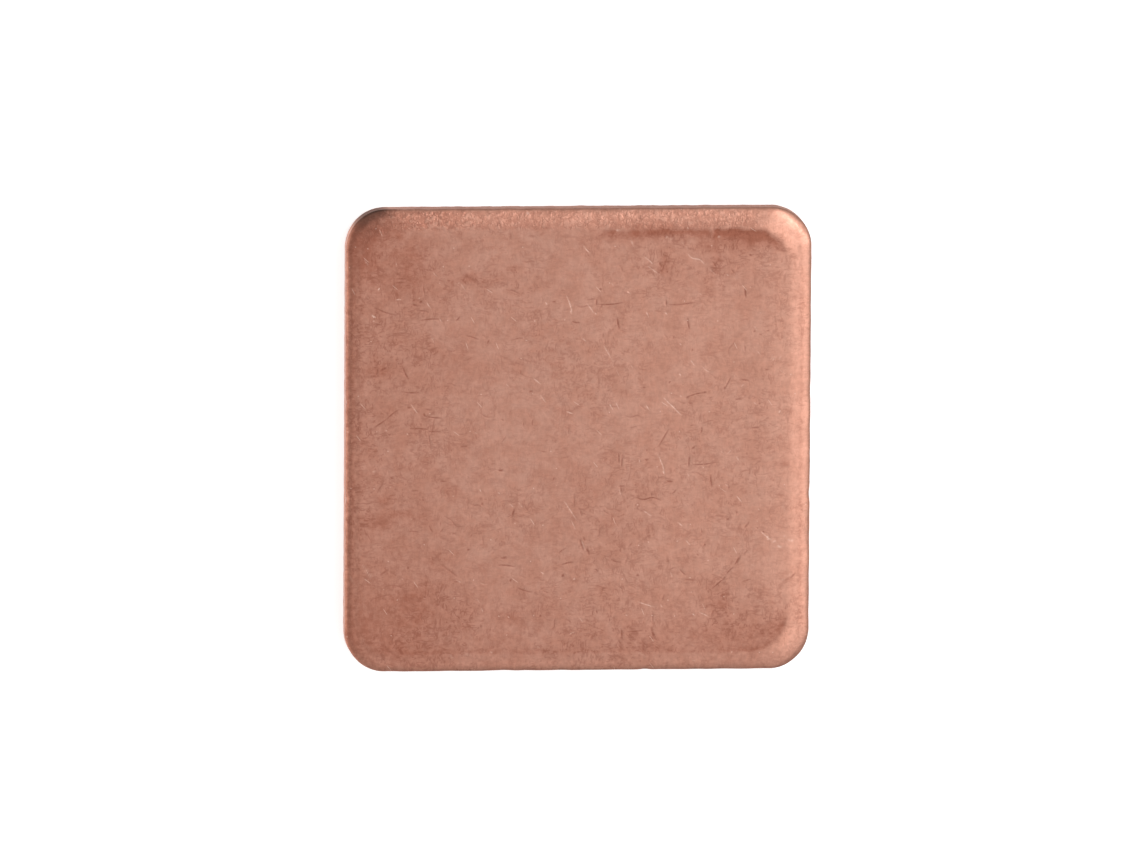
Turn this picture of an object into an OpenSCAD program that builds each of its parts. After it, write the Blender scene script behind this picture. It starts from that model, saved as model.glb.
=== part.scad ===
// Copper sheet: a small square blank, punched from rolled strip.
//
// The punch leaves four bands on the edge, from the top down. The face is drawn over into a
// soft roll, then comes a vertical band that the die has burnished, then a torn band that
// leans inwards, and last the arris of the underside, which tumbling has broken. The roll
// isn't even: each side has its own width and depth, and it is deepest where it goes round a
// corner. In section it is a slanting flank with an outer round.
//
// The origin is the centre of the underside. Z is the thickness and the rolled face is up.

/* [Sheet] */
// Length of the sheet, along X
sheet_l = 15; // [8:0.5:60]
// Width of the sheet, along Y
sheet_w = 15; // [8:0.5:60]
// Thickness of the strip
sheet_t = 1.2; // [1:0.05:4]
// Radius of the corners in plan
corner_r = 1.3; // [0.8:0.05:3]

/* [Roll: width] */
// Width of the roll along the right side
roll_w_right = 0.76; // [0.3:0.01:1.4]
// Width of the roll along the back side
roll_w_back = 0.7; // [0.3:0.01:1.4]
// Width of the roll along the left side
roll_w_left = 0.51; // [0.3:0.01:1.4]
// Width of the roll along the front side
roll_w_front = 0.58; // [0.3:0.01:1.4]
// Radius of the line where the roll begins, at each corner
roll_corner_r = 1.2; // [0.6:0.05:2]

/* [Roll: depth] */
// Drop of the roll along the right side
roll_d_right = 0.2; // [0.05:0.01:0.3]
// Drop of the roll along the back side
roll_d_back = 0.18; // [0.05:0.01:0.3]
// Drop of the roll along the left side
roll_d_left = 0.14; // [0.05:0.01:0.3]
// Drop of the roll along the front side
roll_d_front = 0.14; // [0.05:0.01:0.3]
// How many times deeper the roll is at the middle of a corner
corner_gain = 1.35; // [1:0.05:1.6]

/* [Roll: section] */
// Part of the roll's width in which the face bends down into the flank
bend_w = 0.25; // [0.1:0.05:0.4]
// Part of the roll's width that lies before the outer round
flank_w = 0.55; // [0.45:0.05:0.75]
// Part of the roll's drop that the flank takes, if it ran to the outline
flank_drop = 0.35; // [0.15:0.05:0.6]

/* [Wall] */
// Height of the torn band above the underside
torn_h = 0.42; // [0.1:0.01:0.5]
// How far the torn band leans in at the underside
torn_in = 0.05; // [0.02:0.01:0.12]
// Size of the broken arris round the underside
arris = 0.04; // [0.02:0.01:0.08]

/* [Smoothness] */
// Facets across the bend
bend_steps = 3; // [2:1:5]
// Facets across the outer round
round_steps = 7; // [4:1:10]
// Facets along each corner of the roll
corner_steps = 14; // [6:1:20]

/* [Hidden] */

$fn = 96;
CLEAR = 0.5; // how far a cutting form runs on past the blank
QUARTER = 90;

// The four corners in order, anticlockwise from the right end of the back side. Each is
// [sign of x, sign of y, start angle, width of the roll in x, width in y, drop before it,
// drop after it].
CORNERS = [
    [1, 1, 0, roll_w_right, roll_w_back, roll_d_right, roll_d_back],
    [-1, 1, 90, roll_w_left, roll_w_back, roll_d_back, roll_d_left],
    [-1, -1, 180, roll_w_left, roll_w_front, roll_d_left, roll_d_front],
    [1, -1, 270, roll_w_right, roll_w_front, roll_d_front, roll_d_right],
];

function mix(a, b, f) = a + (b - a) * f;

// Across the roll, f is 0 where it begins on the face and 1 at the outline. The face bends into
// a straight flank, and an outer round, a quarter of an ellipse, turns the flank down into the
// wall. The drop is a part of the whole drop.
FLANK_SLOPE = 1 / (1 - bend_w / 2);
function flank_fall(f) =
    FLANK_SLOPE * (f < bend_w ? f * f / (2 * bend_w) : f - bend_w / 2);
function round_f(a) = flank_w + (1 - flank_w) * sin(a);
function bend_point(f) = [f, flank_drop * flank_fall(f)];
function round_point(a) =
    [round_f(a), flank_drop * flank_fall(round_f(a)) + (1 - flank_drop) * (1 - cos(a))];

// Round the roll, the plan place of one station: the rounded rectangle at f, at part s of the
// way round corner c.
function station_xy(c, s, f) =
    let (r = mix(roll_corner_r, corner_r, f), a = c[2] + QUARTER * s)
    [
        c[0] * (sheet_l / 2 - c[3] * (1 - f) - r) + r * cos(a),
        c[1] * (sheet_w / 2 - c[4] * (1 - f) - r) + r * sin(a),
    ];

// The drop of the roll at that station: it eases from one side's drop to the next one's, and
// swells in between.
function station_drop(c, s) =
    mix(c[5], c[6], (1 - cos(180 * s)) / 2) * (1 + (corner_gain - 1) * pow(sin(180 * s), 2));

// The section of the roll's cutting form, as [f, drop] pairs. Its first and last facets run on
// in a straight line, so that they leave the blank cleanly.
FIRST = bend_point(bend_w / bend_steps);
LAST = round_point(QUARTER * (round_steps - 1) / round_steps);
RUN_ON = 3;
ROLL_SECTION = concat(
    [-FIRST],
    [for (j = [1:bend_steps]) bend_point(bend_w * j / bend_steps)],
    [for (j = [0:round_steps - 1]) round_point(QUARTER * j / round_steps)],
    [LAST + ([1, 1] - LAST) * RUN_ON]
);
SECTION_N = len(ROLL_SECTION);

// One closed section of the cutting form: the roll from the face outwards, then back over the
// top of the blank.
function station(c, s) =
    let (
        top = sheet_t + CLEAR,
        curve = [
            for (p = ROLL_SECTION)
                concat(station_xy(c, s, p[0]), [sheet_t - station_drop(c, s) * p[1]])
        ],
        first = curve[0],
        last = curve[SECTION_N - 1]
    )
    concat(curve, [[last[0], last[1], top], [first[0], first[1], top]]);

RING_N = SECTION_N + 2;
STATIONS = [for (c = CORNERS) for (i = [0:corner_steps]) station(c, i / corner_steps)];
STATION_N = len(STATIONS);

function ring_point(i, j) = (i % STATION_N) * RING_N + (j % RING_N);

// The outline of the blank in plan.
module outline() {
    x = sheet_l / 2 - corner_r;
    y = sheet_w / 2 - corner_r;
    square([sheet_l, 2 * y], center = true);
    square([2 * x, sheet_w], center = true);
    for (sx = [-1, 1], sy = [-1, 1])
        translate([sx * x, sy * y]) circle(r = corner_r);
}

// The blank before its edge is formed.
module blank() {
    linear_extrude(sheet_t) outline();
}

// What the punch draws down off the top: a form lofted from station to station round the
// blank, closed on itself.
module roll_form() {
    polyhedron(
        points = [for (s = STATIONS) for (p = s) p],
        faces = [
            for (i = [0:STATION_N - 1]) for (j = [0:RING_N - 1])
                [
                    ring_point(i, j),
                    ring_point(i, j + 1),
                    ring_point(i + 1, j + 1),
                    ring_point(i + 1, j),
                ]
        ],
        convexity = 4
    );
}

// Carries a section round the outline. In the section X is the distance out from the outline
// and Y is the height.
module along_outline() {
    x = sheet_l / 2 - corner_r;
    y = sheet_w / 2 - corner_r;
    for (side = [0:3]) {
        along_x = side % 2 == 1;
        run = along_x ? 2 * x : 2 * y;
        reach = along_x ? sheet_w / 2 : sheet_l / 2;
        rotate(QUARTER * side) translate([reach, run / 2, 0])
            rotate([QUARTER, 0, 0]) linear_extrude(run) children();
    }
    for (c = CORNERS)
        translate([c[0] * x, c[1] * y, 0]) rotate(c[2])
            rotate_extrude(angle = QUARTER) translate([corner_r, 0]) children();
}

// What tears away below the burnished band: the lean of the torn band and the broken arris.
module torn_form() {
    along_outline() polygon([
        [CLEAR, -CLEAR],
        [CLEAR, torn_h],
        [0, torn_h],
        [-torn_in, arris],
        [-torn_in - arris, 0],
        [-torn_in - arris, -CLEAR],
    ]);
}

module copper_sheet() {
    color([0.72, 0.47, 0.38]) difference() {
        blank();
        roll_form();
        torn_form();
    }
}

copper_sheet();
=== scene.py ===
"""Dresses the punched copper sheet: its relief, its tarnished finish, and the studio round it.

The frame gives the sheet's box. SheetForm repeats the sizes of the solid's edge, which the frame
doesn't give. The other sizes are of relief that is too fine for the solid: the ripple of the
face, the line that the stripper pressed in, the scratches, the nicks and the torn wall. Sizes of
the sheet are in millimetres, and those of the studio in metres unless they say otherwise.
"""

import logging
import math
from collections.abc import Callable
from dataclasses import dataclass, field
from enum import Enum
from functools import reduce

import bpy
import numpy as np
from mathutils import Matrix, Vector
from mathutils.geometry import delaunay_2d_cdt


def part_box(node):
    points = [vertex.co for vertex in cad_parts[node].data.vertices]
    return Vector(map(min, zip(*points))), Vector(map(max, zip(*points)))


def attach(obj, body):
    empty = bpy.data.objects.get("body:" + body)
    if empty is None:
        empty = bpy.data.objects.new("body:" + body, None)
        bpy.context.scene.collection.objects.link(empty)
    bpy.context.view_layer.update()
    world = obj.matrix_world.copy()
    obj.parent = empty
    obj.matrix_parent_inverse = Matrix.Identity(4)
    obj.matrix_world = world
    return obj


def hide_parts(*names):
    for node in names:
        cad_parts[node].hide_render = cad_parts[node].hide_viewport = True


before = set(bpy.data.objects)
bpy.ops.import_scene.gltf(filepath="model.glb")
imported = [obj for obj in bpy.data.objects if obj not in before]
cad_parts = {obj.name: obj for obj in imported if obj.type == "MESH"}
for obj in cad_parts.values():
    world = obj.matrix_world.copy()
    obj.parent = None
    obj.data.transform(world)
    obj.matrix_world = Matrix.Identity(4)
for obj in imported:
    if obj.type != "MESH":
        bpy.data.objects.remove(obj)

LOG = logging.getLogger("copper_sheet")
MM = 0.001  # metres in a millimetre
Array = np.ndarray
Faces = list[tuple[int, ...]]
Colour = tuple[float, float, float]
Socket = bpy.types.NodeSocket
Value = Socket | float


def smooth(x: Array | float, low: float, high: float) -> Array:
    """Eases from 0 at low to 1 at high.

    Args:
        x: The values to ease.
        low: Where the ease starts.
        high: Where it ends. It may be less than low, which turns the ease round.

    Returns:
        The eased values, each from 0 to 1.
    """
    t = np.clip((x - low) / (high - low), 0.0, 1.0)
    return t * t * (3.0 - 2.0 * t)


class Ripple:
    """A smooth random field over a plane, made of plane waves that run every way."""

    WAVES = 24
    SLOWEST, FASTEST = 0.6, 1.5  # the range of the waves' rates, as parts of the usual one

    def __init__(self, size: float, seed: int) -> None:
        """Draws the waves.

        Args:
            size: The usual distance between two crests.
            seed: The seed of the draw.
        """
        rng = np.random.default_rng(seed)
        heading = rng.uniform(0.0, 2.0 * math.pi, self.WAVES)
        rate = 2.0 * math.pi / size * rng.uniform(self.SLOWEST, self.FASTEST, self.WAVES)
        self._kx = rate * np.cos(heading)
        self._ky = rate * np.sin(heading)
        self._phase = rng.uniform(0.0, 2.0 * math.pi, self.WAVES)

    def __call__(self, x: Array, y: Array) -> Array:
        """Reads the field.

        Args:
            x: The points' places along the first axis.
            y: Their places along the second.

        Returns:
            The field at each point, with a mean of 0 and a spread of 1.
        """
        height = np.zeros(np.broadcast(x, y).shape)
        for kx, ky, phase in zip(self._kx, self._ky, self._phase, strict=True):
            height += np.cos(kx * x + ky * y + phase)
        return height * math.sqrt(2.0 / self.WAVES)


class Side(Enum):
    """The sides of the sheet, anticlockwise from the one on the right."""

    RIGHT = 0
    BACK = 1
    LEFT = 2
    FRONT = 3


@dataclass(frozen=True)
class Roll:
    """What the punch did along one side: how far it drew the face over, and how it left it.

    The width and the drop are in millimetres. The rest go from 0 to 1: how bright the roll is
    rubbed, partly as painted light, how dark its rim is, partly soot and partly painted dark
    reflection, how brown it is, and how rough.
    """

    width: float
    drop: float
    rub: float
    soot: float
    brown: float
    grain: float


@dataclass
class SheetForm:
    """The sheet's form in plan and section, in millimetres, as the solid has it.

    Across the roll, f is 0 where it begins on the face and 1 at the outline. On the face it is
    less than 0. Round the sheet there are stations, first along each corner, then along the side
    after it.
    """

    half_l: float
    half_w: float
    thickness: float
    corner_r: float = 1.3
    line_r: float = 1.2
    rolls: dict[Side, Roll] = field(
        default_factory=lambda: {
            Side.RIGHT: Roll(0.76, 0.20, rub=0.68, soot=0.23, brown=0.0, grain=0.05),
            Side.BACK: Roll(0.70, 0.18, rub=0.60, soot=0.37, brown=0.0, grain=1.0),
            Side.LEFT: Roll(0.51, 0.14, rub=0.70, soot=0.0, brown=0.48, grain=0.03),
            Side.FRONT: Roll(0.58, 0.14, rub=0.26, soot=0.13, brown=0.10, grain=0.15),
        }
    )
    bend_w: float = 0.25
    flank_w: float = 0.55
    flank_drop: float = 0.35
    corner_gain: float = 1.35
    torn_h: float = 0.42
    torn_in: float = 0.05
    arris: float = 0.04
    side_steps: int = 170
    corner_steps: int = 30

    CORNER_SIGNS = ((1, 1), (-1, 1), (-1, -1), (1, -1))
    RIGHT_CORNERS = (0, 3)

    def __post_init__(self) -> None:
        """Lays out the stations: the corner of each, and how far it is round it and past it."""
        corner, part, blend = [], [], []
        for c in range(len(self.CORNER_SIGNS)):
            for i in range(self.corner_steps):
                corner.append(c)
                part.append(i / self.corner_steps)
                blend.append(0.0)
            for i in range(self.side_steps):
                corner.append(c)
                part.append(1.0)
                blend.append(i / self.side_steps)
        self.corner = np.array(corner)
        self.part = np.array(part)
        self.blend = np.array(blend)
        self.count = len(corner)

    def _width(self, side: Side) -> float:
        """The roll's width along a side."""
        return self.rolls[side].width

    def _corner_xy(self, corner: Array, part: Array, f: float) -> Array:
        """Finds plan points on the corner arcs.

        Args:
            corner: The corner of each station.
            part: How far round its corner each one is, from 0 to 1.
            f: The place across the roll.

        Returns:
            One row for each station.
        """
        signs = np.array(self.CORNER_SIGNS)[corner]
        right, back, left, front = (self._width(side) for side in Side)
        across = np.array([right, left, left, right])[corner]
        along = np.array([back, back, front, front])[corner]
        r = self.line_r + (self.corner_r - self.line_r) * f
        angle = (corner + part) * math.pi / 2.0
        x = signs[:, 0] * (self.half_l - across * (1.0 - f) - r) + r * np.cos(angle)
        y = signs[:, 1] * (self.half_w - along * (1.0 - f) - r) + r * np.sin(angle)
        return np.stack([x, y], axis=1)

    def ring(self, f: float) -> Array:
        """Finds the plan points of a loop.

        Args:
            f: The place across the roll.

        Returns:
            One row for each station.
        """
        here = self._corner_xy(self.corner, self.part, f)
        following = self._corner_xy((self.corner + 1) % 4, np.zeros(self.count), f)
        return here + (following - here) * self.blend[:, None]

    def depth_in(self, xy: Array, f: float) -> Array:
        """Measures how far inside a loop each plan point lies.

        Args:
            xy: The points, one to a row.
            f: The loop's place across the roll.

        Returns:
            The distances, less than 0 outside the loop.
        """
        right, back, left, front = (self._width(side) * (1.0 - f) for side in Side)
        r = self.line_r + (self.corner_r - self.line_r) * f
        middle = np.array([left - right, front - back]) / 2.0
        reach = np.array([self.half_l - (left + right) / 2.0, self.half_w - (front + back) / 2.0])
        gap = np.abs(xy - middle) - (reach - r)
        beyond = np.linalg.norm(np.maximum(gap, 0.0), axis=1)
        return r - beyond - np.minimum(gap.max(axis=1), 0.0)

    def outward(self) -> Array:
        """The unit vector that points out of the sheet at each station."""
        angle = (self.corner + self.part) * math.pi / 2.0
        return np.stack([np.cos(angle), np.sin(angle)], axis=1)

    def round_right(self) -> Array:
        """How near each station is to the middle of one of the two corners on the right."""
        return np.sin(math.pi * self.part) ** 2 * np.isin(self.corner, self.RIGHT_CORNERS)

    def along(self, name: str) -> Array:
        """Reads one of the rolls' values round the sheet.

        Args:
            name: The value's name in Roll.

        Returns:
            The value at each station, eased round the corners.
        """
        sides = np.array([getattr(self.rolls[side], name) for side in Side])
        before, after = sides[self.corner], sides[(self.corner + 1) % 4]
        return before + (after - before) * (1.0 - np.cos(math.pi * self.part)) / 2.0

    def drop(self) -> Array:
        """The drop of the roll at each station, which swells at the corners."""
        swell = 1.0 + (self.corner_gain - 1.0) * np.sin(math.pi * self.part) ** 2
        return self.along("drop") * swell

    def fall(self, f: float) -> float:
        """Follows the roll's section: a bend into a straight flank, then an outer round.

        Args:
            f: The place across the roll.

        Returns:
            The part of the roll's drop that is reached there, from 0 to 1.
        """
        f = min(max(f, 0.0), 1.0)
        flank = f * f / (2.0 * self.bend_w) if f < self.bend_w else f - self.bend_w / 2.0
        turned = max(0.0, f - self.flank_w) / (1.0 - self.flank_w)
        outer = 1.0 - math.sqrt(1.0 - turned * turned)
        share = self.flank_drop
        return share * flank / (1.0 - self.bend_w / 2.0) + (1.0 - share) * outer

    def run(self) -> Array:
        """The distance round the outline to each station."""
        step = np.linalg.norm(np.diff(self.ring(1.0), axis=0), axis=1)
        return np.concatenate([[0.0], np.cumsum(step)])


class Mark(Enum):
    """What a scratch shows: dirt that has settled in it, or bare metal."""

    SOILED = "soiled"
    BARE = "bare"


@dataclass(frozen=True)
class Scratch:
    """One scratch in the top face, in millimetres and degrees from +X."""

    x: float
    y: float
    angle: float
    length: float
    mark: Mark = Mark.SOILED
    bow: float = 0.0
    wave: float = 0.0
    half_width: float = 0.040
    depth: float = 0.004
    strength: float = 1.0

    STEP = 0.07  # the spacing of the points along it
    BURR = 0.2  # how high its lips are, as a part of its depth
    LIP_AT, LIP_HALF = 1.4, 0.6  # where a lip stands and how wide it is, in half widths
    TAPER = 0.7  # how bluntly its ends run out

    def path(self, aside: float = 0.0) -> Array:
        """Lays points along the scratch, or beside it.

        Args:
            aside: How far to the left of the scratch the points lie.

        Returns:
            One row for each point.
        """
        count = max(3, int(self.length / self.STEP) + 1)
        t = np.linspace(-0.5, 0.5, count)
        along = t * self.length
        across = self.bow * (1.0 - 4.0 * t * t) + self.wave * np.sin(3.0 * math.pi * t) + aside
        cos, sin = math.cos(math.radians(self.angle)), math.sin(math.radians(self.angle))
        x = self.x + along * cos - across * sin
        y = self.y + along * sin + across * cos
        return np.stack([x, y], axis=1)

    def press(self, xy: Array) -> tuple[Array, Array]:
        """Presses the scratch into some points.

        Args:
            xy: The points in plan.

        Returns:
            How strongly each is marked, from 0 to 1, and how far it moves up, in millimetres.
        """
        path = self.path()
        best = np.full(len(xy), np.inf)
        where = np.zeros(len(xy))
        for i, (a, b) in enumerate(zip(path[:-1], path[1:], strict=True)):
            leg = b - a
            t = np.clip((xy - a) @ leg / (leg @ leg), 0.0, 1.0)
            gap = np.linalg.norm(xy - a - t[:, None] * leg, axis=1)
            nearer = gap < best
            best = np.where(nearer, gap, best)
            where = np.where(nearer, (i + t) / (len(path) - 1), where)
        taper = np.sin(np.clip(where, 0.0, 1.0) * math.pi) ** self.TAPER
        valley = np.clip(1.0 - best / self.half_width, 0.0, 1.0)
        lip = 1.0 - np.abs(best / self.half_width - self.LIP_AT) / self.LIP_HALF
        lip = np.clip(lip, 0.0, 1.0)
        return valley * taper * self.strength, (lip * self.BURR - valley) * taper * self.depth


@dataclass(frozen=True)
class Patch:
    """A soft round patch of some strength, in millimetres: a stain, a rubbed place, a painted shade or
    a painted highlight.
    """

    x: float
    y: float
    radius_x: float
    radius_y: float
    strength: float

    def __call__(self, x: Array, y: Array) -> Array:
        """How strong the patch is at each point."""
        gap = ((x - self.x) / self.radius_x) ** 2 + ((y - self.y) / self.radius_y) ** 2
        return self.strength * np.exp(-gap)


@dataclass(frozen=True)
class Ramp:
    """An ease along one axis, from 0 at low to its strength at high."""

    strength: float
    low: float
    high: float

    def __call__(self, x: Array | float) -> Array:
        """How strong the ramp is at each place."""
        return self.strength * smooth(x, self.low, self.high)


def total(parts: tuple[Callable[..., Array], ...], *where: Array | float) -> Array:
    """The sum of some patches or some ramps at each place."""
    return sum(part(*where) for part in parts)


@dataclass(frozen=True)
class Scatter:
    """How many small scratches of a kind there are, and what they are like at random."""

    mark: Mark
    count: int
    headings: tuple[float, ...]
    shortest: float
    usual: float
    narrowest: float
    strongest: float

    LONGEST = 0.8
    WANDER = 12.0  # how far a scratch turns from its heading, in degrees
    BOW, WAVE = 0.10, 0.04  # how far it bows and waves, as parts of its length
    WIDER = 0.012  # how much wider than the narrowest it may be
    SHALLOWEST, DEEPEST = 0.0015, 0.004
    WEAKEST = 0.2

    def draw(self, rng: np.random.Generator, somewhere: Callable[[], tuple[float, float]]) -> Scratch:
        """Draws one scratch.

        Args:
            rng: The source of chance.
            somewhere: Draws the place of its middle.

        Returns:
            The scratch.
        """
        length = min(self.shortest + self.usual * rng.exponential(), self.LONGEST)
        x, y = somewhere()
        heading = self.headings[rng.integers(len(self.headings))]
        return Scratch(
            x=x,
            y=y,
            angle=heading + rng.normal(0.0, self.WANDER),
            length=length,
            mark=self.mark,
            bow=rng.normal(0.0, self.BOW) * length,
            wave=rng.normal(0.0, self.WAVE) * length,
            half_width=self.narrowest + rng.uniform(0.0, self.WIDER),
            depth=rng.uniform(self.SHALLOWEST, self.DEEPEST),
            strength=rng.uniform(self.WEAKEST, self.strongest),
        )


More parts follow.
